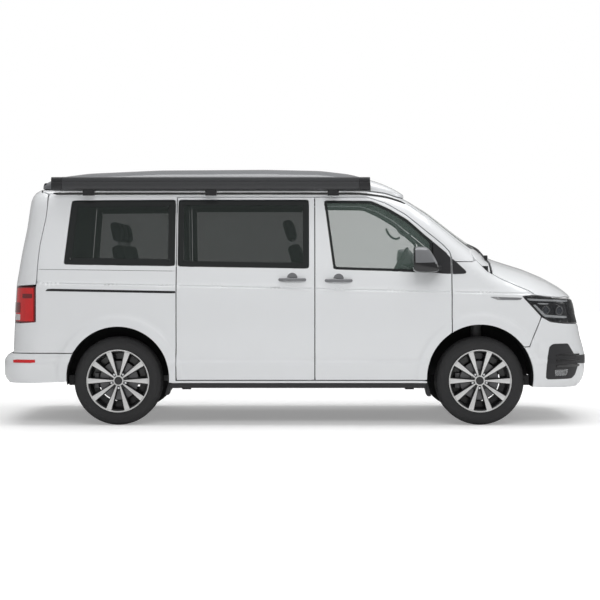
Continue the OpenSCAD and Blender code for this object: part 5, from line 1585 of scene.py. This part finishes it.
def front_seat(s, word):
    x, y, w = FRONT - 1.130, s * 0.390, 0.500
    base = start_block((x - 0.24, y - w / 2 + 0.06, 0.545), (x + 0.24, y + w / 2 - 0.06, 0.785))
    pick(base, lambda c, n: n.z > 0.5)
    bpy.ops.mesh.inset(thickness=0.02, depth=-0.01)
    object_mode()
    finish_piece(base, f"seat_box_{word}", "body", [CABIN])
    cushion = pad(f"seat_cushion_{word}", (x - 0.250, y - w / 2 + 0.008, 0.788),
                  (x + 0.262, y + w / 2 - 0.008, 0.905), [SEAT_CLOTH])
    pv = (x - 0.2, y, 0.9)
    pad(f"seat_back_{word}", (x - 0.265, y - w / 2 + 0.012, 0.905),
        (x - 0.158, y + w / 2 - 0.012, 1.512), [SEAT_CLOTH], lean=18, pivot=pv)
    pad(f"head_restraint_{word}", (x - 0.240, y - 0.130, 1.555), (x - 0.160, y + 0.130, 1.728),
        [SEAT_CLOTH], crown=0.012, edge=0.028, lean=18, pivot=pv)
    for j in (-1, 1):
        post = pipe(f"head_post_{'a' if j < 0 else 'b'}_{word}",
                    [(x - 0.2, y + j * 0.06, 1.49), (x - 0.2, y + j * 0.06, 1.53),
                     (x - 0.2, y + j * 0.06, 1.575)], 0.007,
                    "body", CHROME, 6)
        post.data.transform(Matrix.Translation(pv) @ Matrix.Rotation(math.radians(-18), 4, "Y")
                            @ Matrix.Translation([-v for v in pv]))
    if s > 0:
        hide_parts("front_seats")


both(front_seat)
bx = REAR
box = start_block((bx + 0.06, -0.52, 0.545), (bx + 0.44, 0.52, 0.785))
pick(box, lambda c, n: n.x > 0.5)
bpy.ops.mesh.inset(thickness=0.03, depth=-0.008)
object_mode()
finish_piece(box, "bench_box", "body", [CABIN])
bench = pad("bench_cushion", (bx + 0.03, -0.575, 0.790), (bx + 0.532, 0.575, 0.905), [SEAT_CLOTH])
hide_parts("rear_bench")
pv = (bx + 0.09, 0, 0.9)
pad("bench_back", (bx + 0.020, -0.575, 0.905), (bx + 0.122, 0.575, 1.490), [SEAT_CLOTH], lean=12, pivot=pv)
for k, word in ((-1, "right"), (0, "middle"), (1, "left")):
    pad(f"bench_head_{word}", (bx + 0.042, k * 0.39 - 0.122, 1.525),
        (bx + 0.112, k * 0.39 + 0.122, 1.690), [SEAT_CLOTH], crown=0.012, edge=0.026, lean=12, pivot=pv)
    for j in (-1, 1):
        post = pipe(f"bench_post_{'a' if j < 0 else 'b'}_{word}", [(bx + 0.078, k * 0.39 + j * 0.05, 1.47),
                                                                  (bx + 0.078, k * 0.39 + j * 0.05, 1.51),
                                                                  (bx + 0.078, k * 0.39 + j * 0.05, 1.545)],
                    0.007, "body", CHROME, 6)
        post.data.transform(Matrix.Translation(pv) @ Matrix.Rotation(math.radians(-12), 4, "Y")
                            @ Matrix.Translation([-v for v in pv]))

# steering wheel: a padded ring, hub and three spokes
HELM = Vector((FRONT - 0.590, 0.390, 1.300))
ring = lathe([(0.176 + 0.0135 * math.cos(t),
               0.0135 * math.sin(t)) for t in np.linspace(0, 2 * math.pi, 13)], 72)
hub = lathe([(0.0, -0.016), (0.048, -0.014), (0.058, -0.006), (0.060, 0.006), (0.052, 0.020),
             (0.013, 0.024), (0.012, 0.070), (0.0, 0.070)], 40)
parts = [ring, hub]
for a in (90, 210, 330):
    arm = start_block((0.045, -0.006, -0.016), (0.168, 0.006, 0.016))
    bevelled(arm, 0.004, 2)
    parts.append(moved(arm, Matrix.Rotation(math.radians(a), 4, "Y")))
wheel = joined(parts)
moved(wheel, Matrix.Translation(HELM) @ Matrix.Rotation(math.radians(-62), 4,
                                                        "Y") @ Matrix.Rotation(math.pi / 2, 4, "X")
      @ Matrix.Rotation(math.pi, 4, "Z"))
finish_piece(wheel, "steering_wheel_rim", "steering_wheel", [DASH])
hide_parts("steering_wheel")

# grab handle by the screen pillar
for s, word in ((1, "left"), (-1, "right")):
    pipe(f"grab_handle_{word}", [(FRONT - 0.675, s * 0.765, 1.640), (FRONT - 0.665, s * 0.735, 1.600),
                                 (FRONT - 0.620, s * 0.725, 1.555), (FRONT - 0.575, s * 0.735, 1.545),
                                 (FRONT - 0.555, s * 0.765, 1.560)], 0.010, "body", CABIN,
         8)

# ---- wipers and cowl ---------------------------------------------------------------------
cowl_loop = from_above(runs(closed([(FRONT + 0.060, -0.70), (FRONT + 0.098, -0.69),
                                    (FRONT + 0.098, 0.69), (FRONT + 0.060, 0.70)])))
cowl = fitted("cowl_cover", cowl_loop, TRIM, "black_plastic", chart=TOP, r=0.006, depth=-0.002,
              thick=0.006, roll=0.002)
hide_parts("wipers")
for tag, y0, y1 in (("right", -0.62, -0.02), ("left", 0.02, 0.62)):
    pts = from_above([(FRONT + 0.075, y0), (FRONT + 0.045, y0 + 0.03), (FRONT + 0.020, y0 + 0.20),
                      (FRONT + 0.012, y1)])
    pts[:, 2] += [0.004, 0.014, 0.014, 0.012]
    pipe(f"wiper_arm_{tag}", [tuple(p) for p in pts], 0.006, "body", TRIM, 6)
    pts = from_above([(FRONT + 0.030, y0 + 0.02), (FRONT + 0.004, y0 + 0.25), (FRONT - 0.006, y1 + 0.05)])
    pts[:, 2] += 0.009
    pipe(f"wiper_blade_{tag}", [tuple(p) for p in pts], 0.006, "body", SEAL, 6)
    spindle = start_block((FRONT + 0.060, y0 - 0.022, float(pts[0, 2]) - 0.060),
                          (FRONT + 0.094, y0 + 0.018, float(pts[0, 2]) - 0.022))
    bevelled(spindle, 0.008, 3)
    finish_piece(spindle, f"wiper_spindle_{tag}", "body", [TRIM])

# ---- sills and mud flaps -----------------------------------------------------------------
SILL_X0, SILL_X1 = REAR + ARCH_R[REAR] + 0.006, FRONT - ARCH_R[FRONT] - 0.006


def sill(s, word):
    fitted(f"sill_cover_{word}", side(closed([(SILL_X0 - 0.004, 0.345), (SILL_X1 + 0.004, 0.345),
                                              (SILL_X1 + 0.004, 0.3625), (SILL_X0 - 0.004, 0.3625)]), s),
           PAINT, "paint", r=0.002, depth=0.001, thick=0.03, roll=0.002)
    trim = fitted(f"sill_trim_{word}", side(closed([(SILL_X0, 0.300), (SILL_X1, 0.300), (SILL_X1, 0.344),
                                                    (SILL_X0, 0.344)]), s), TRIM, "black_plastic", r=0.008,
                  depth=0.006, thick=0.05, roll=0.004)
    if s > 0:
        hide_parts("sill_trims")
    for tag, x, z in (("rear", SILL_X0 + 0.02, 0.245), ("front", SILL_X1 - 0.02, 0.235)):
        way = 1 if tag == "rear" else -1
        flap = start_block((min(x - way * 0.03, x), min(s * 0.735, s * 0.905), z), (max(x - way * 0.03, x),
                           max(s * 0.735, s * 0.905), 0.35))
        alone(flap)
        for v in flap.data.vertices:
            if v.co.z < 0.3:
                v.co.x -= way * 0.03
        bevelled(flap, 0.006, 2)
        finish_piece(flap, f"mud_flap_{tag}_{word}", "body", [TRIM])


both(sill)

# ---- arch returns, hinges, plates and tail trim ------------------------------------------
def arch_return(cx, tag, s, word):
    """The black inner edge of a wheel arch, from the skin in to the liner."""
    r = ARCH_R[cx] + 0.004
    a0, a1 = math.radians(-6 if cx == REAR else -10), math.radians(188)
    y0, y1 = 0.60, HALF_W - 0.058
    rows = np.linspace(a0, a1, 72)
    verts, faces = [], []
    for t in rows:
        for y, rr in ((y0, r), (y1, r), (y1, r + 0.005), (y0, r + 0.005)):
            verts.append((cx + rr * math.cos(t), s * y, ARCH_Z + rr * math.sin(t)))
    for i in range(len(rows) - 1):
        for j in range(4):
            a, b = i * 4 + j, i * 4 + (j + 1) % 4
            faces.append((a, b, b + 4, a + 4))
    faces += [(3, 2, 1, 0), tuple(len(verts) - 4 + j for j in range(4))]
    ob = mesh_piece(f"arch_return_{tag}_{word}", verts, faces, "body", [UNDER])
    alone(ob)
    edit_all()
    bpy.ops.mesh.normals_make_consistent(inside=False)
    object_mode()


both(lambda s, word: arch_return(FRONT, "front", s, word))
both(lambda s, word: arch_return(REAR, "rear", s, word))


def hinge(name, x, y, z, way, body="body"):
    """A pressed hinge: a leaf with a rolled eye round its pin."""
    leaf = start_block((x - 0.030, y - 0.004, z - 0.020), (x + 0.030, y + 0.004, z + 0.020))
    bevelled(leaf, 0.003, 2)
    fresh()
    bpy.ops.mesh.primitive_cylinder_add(vertices=20, radius=0.006, depth=0.05 if way == "Y" else 0.09,
                                        location=(x, y, z),
                                        rotation=(math.pi / 2, 0, 0) if way == "Y" else (0, 0, 0))
    pin = bpy.context.object
    bpy.ops.object.transform_apply(location=True, rotation=True, scale=True)
    axis = 1 if way == "Y" else 2
    pick(pin, lambda c, n: abs(n[axis]) > 0.9)
    bpy.ops.mesh.inset(thickness=0.0015, depth=0.001)
    object_mode()
    return finish_piece(joined([leaf, pin]), name, body, [STEEL])


for s, word in ((1, "left"), (-1, "right")):
    for i, z in enumerate((0.855, 1.170)):
        hinge(f"door_hinge_{i}_{word}", FRONT - 0.262, s * (HALF_W - 0.075), z, "Z")
    hinge(f"tailgate_hinge_{word}", TAIL + 0.345, s * 0.480, ROOF_Z - 0.045, "Y")
    hinge(f"bonnet_hinge_{word}", FRONT + 0.120, s * 0.480, 1.290, "Y")
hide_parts("hinge_brackets")

PLATE = finish_of("blank_plate_enamel", (0.78, 0.78, 0.77), rough=0.30, scale=500, vary=0.02, bump=0.05)


def end_rect(y, z0, z1, way):
    return across(from_end(runs([(0, z1), (-y, z1), (-y, z0), (0, z0)]), way))


for tag, way, chart, z, body in (("front", 1, NOSE_BELT, 0.610, "body"),
                                 ("rear", -1, BELT, 0.900, "tailgate")):
    fitted(f"plate_holder_{tag}", end_rect(0.268, z - 0.064, z + 0.064, way), TRIM, "black_plastic",
           body=body, chart=chart, r=0.006, depth=-0.004, thick=0.003, roll=0.001)
    fitted(f"plate_{tag}", end_rect(0.258, z - 0.055, z + 0.055, way), PLATE, "paint", body=body,
           chart=chart, r=0.006, depth=-0.0065, thick=0.002, roll=0.001)
fitted("tailgate_handle_strip", end_rect(0.34, 1.005, 1.040, -1), TRIM, "black_plastic",
       body="tailgate", r=0.01, depth=-0.010, thick=0.012, roll=0.004)
fitted("high_brake_lamp", end_rect(0.17, 1.862, 1.880, -1), RED_LENS, "tail_lamp", body="tailgate",
       chart=DOME, r=0.004, depth=-0.003, thick=0.004, roll=0.001)
motor = from_end([(0.0, 1.215), (0.0, 1.245), (0.10, 1.262), (0.30, 1.270), (0.46, 1.272)], -1)
motor[:, 0] -= [0.004, 0.016, 0.016, 0.014, 0.012]
for s, word in ((1, "left"), (-1, "right")):
    for tag, x0, x1 in (("rear", REAR - 0.405, REAR - 0.330), ("front", FRONT + 0.330, FRONT + 0.405)):
        flap = start_block((x0, min(s * 0.62, s * (HALF_W - 0.075)), 0.325),
                           (x1, max(s * 0.62, s * (HALF_W - 0.075)), 0.405))
        bevelled(flap, 0.006, 2)
        finish_piece(flap, f"liner_flap_{tag}_{word}", "body", [UNDER])
pipe("rear_wiper_arm", [tuple(p) for p in motor], 0.007, "tailgate", TRIM, 6)
for s, word in ((1, "left"), (-1, "right")):
    seam = [(TAIL + 0.338, 1.2745), (PILLAR_C - 0.004, 1.2600), (PILLAR_C - 0.004, 1.2570),
            (TAIL + 0.338, 1.2715)]
    fitted(f"quarter_seam_{word}", side(closed(seam), s), SEAL, "black_plastic", r=0, depth=-0.0004,
           thick=0.0008, roll=0.0002)

# ---- finishes for the pieces that keep their made shape ----------------------------------
ENGINE = finish_of("sand_cast_alloy", (0.24, 0.24, 0.245), rough=0.60, metal=0.7, scale=380, vary=0.15,
                   bump=0.7, distance=0.0008)
PIPE_METAL = finish_of("heat_stained_exhaust", (0.26, 0.23, 0.20), rough=0.45, metal=0.9, scale=90,
                       vary=0.35, bump=0.2)
for node, mat in (("floor_pan", UNDER), ("wheel_liners", UNDER), ("knuckle_left", CAST),
                  ("knuckle_right", CAST), ("front_subframe", CAST), ("rear_axle", CAST),
                  ("engine_block", ENGINE), ("exhaust", PIPE_METAL), ("dashboard", DASH)):
    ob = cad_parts[node]
    if not ob.material_slots:
        ob.data.materials.append(mat)
    for slot in ob.material_slots:
        slot.material = mat

# ---- stage, light and camera -------------------------------------------------------------
scene = bpy.context.scene
scene.view_settings.view_transform = "Standard"


def pale_floor_material():
    m = bpy.data.materials.new("pale_studio_floor")
    m.use_nodes = True
    nt = m.node_tree
    nt.nodes.clear()
    out = nt.nodes.new("ShaderNodeOutputMaterial")
    bsdf = nt.nodes.new("ShaderNodeBsdfPrincipled")
    bsdf.inputs["Base Color"].default_value = (0.80, 0.80, 0.80, 1)
    bsdf.inputs["Roughness"].default_value = 0.9
    glow = nt.nodes.new("ShaderNodeEmission")
    glow.inputs["Color"].default_value = (1, 1, 1, 1)
    path = nt.nodes.new("ShaderNodeLightPath")
    level = nt.nodes.new("ShaderNodeMath")
    level.operation = "MULTIPLY"
    place = nt.nodes.new("ShaderNodeTexCoord")
    far = nt.nodes.new("ShaderNodeVectorMath")
    far.operation = "LENGTH"
    nt.links.new(place.outputs["Object"], far.inputs[0])
    rise = nt.nodes.new("ShaderNodeMapRange")
    for key, value in (("From Min", 3.0), ("From Max", 9.0), ("To Min", 0.28), ("To Max", 1.0)):
        rise.inputs[key].default_value = value
    nt.links.new(far.outputs["Value"], rise.inputs["Value"])
    nt.links.new(rise.outputs[0], level.inputs[1])
    both_ways = nt.nodes.new("ShaderNodeAddShader")
    nt.links.new(path.outputs["Is Camera Ray"], level.inputs[0])
    nt.links.new(level.outputs[0], glow.inputs["Strength"])
    nt.links.new(bsdf.outputs[0], both_ways.inputs[0])
    nt.links.new(glow.outputs[0], both_ways.inputs[1])
    nt.links.new(both_ways.outputs[0], out.inputs["Surface"])
    return m


fresh()
bpy.ops.mesh.primitive_plane_add(size=60, location=(0, 0, 0))
floor = bpy.context.object
floor.name = floor.data.name = "studio_floor"
floor.data.materials.append(pale_floor_material())

world = bpy.data.worlds.new("studio")
scene.world = world
world.use_nodes = True
wn = world.node_tree
wn.nodes.clear()
w_out = wn.nodes.new("ShaderNodeOutputWorld")
w_back = wn.nodes.new("ShaderNodeBackground")
w_path = wn.nodes.new("ShaderNodeLightPath")
w_add = wn.nodes.new("ShaderNodeMath")
w_add.operation = "MAXIMUM"
w_mix = wn.nodes.new("ShaderNodeMath")
w_mix.operation = "MULTIPLY_ADD"
wn.links.new(w_path.outputs["Is Camera Ray"], w_add.inputs[0])
wn.links.new(w_path.outputs["Is Transmission Ray"], w_add.inputs[1])
wn.links.new(w_add.outputs[0], w_mix.inputs[0])
w_mix.inputs[1].default_value = 1.0 - WORLD_LEVEL
w_mix.inputs[2].default_value = WORLD_LEVEL
w_back.inputs[0].default_value = (1, 1, 1, 1)
wn.links.new(w_mix.outputs[0], w_back.inputs[1])
wn.links.new(w_back.outputs[0], w_out.inputs[0])


def lamp(name, place, aim, size, watts):
    data = bpy.data.lights.new(name, "AREA")
    data.shape = "RECTANGLE"
    data.size, data.size_y = size
    data.energy = watts
    ob = bpy.data.objects.new(name, data)
    bpy.context.collection.objects.link(ob)
    ob.location = place
    ob.rotation_euler = (Vector(aim) - Vector(place)).to_track_quat("-Z", "Y").to_euler()
    return ob


lamp("overhead", (0, 0, 7.5), (0, 0, 0), (10, 5), 430)
lamp("key", (1.0, -8.0, 6.0), (0, 0, 1.2), (8, 3), 290).visible_glossy = False
lamp("fill", (-2.0, 8.0, 6.0), (0, 0, 1.0), (8, 3), 130).visible_glossy = False
lamp("nose_light", (9.0, 0.0, 4.0), (1.5, 0, 1.0), (3, 3), 70)

cam_data = bpy.data.cameras.new("camera")
cam = bpy.data.objects.new("camera", cam_data)
bpy.context.collection.objects.link(cam)
cam.location = (0.030, -HALF_W - 13.0, 1.300)
cam.rotation_euler = (math.pi / 2, 0, 0)
cam_data.sensor_width = 36
cam_data.lens = 36 * 13.0 / (600 * 0.00814)
cam_data.shift_y = -34 / 600
cam_data.clip_end = 200
scene.camera = cam
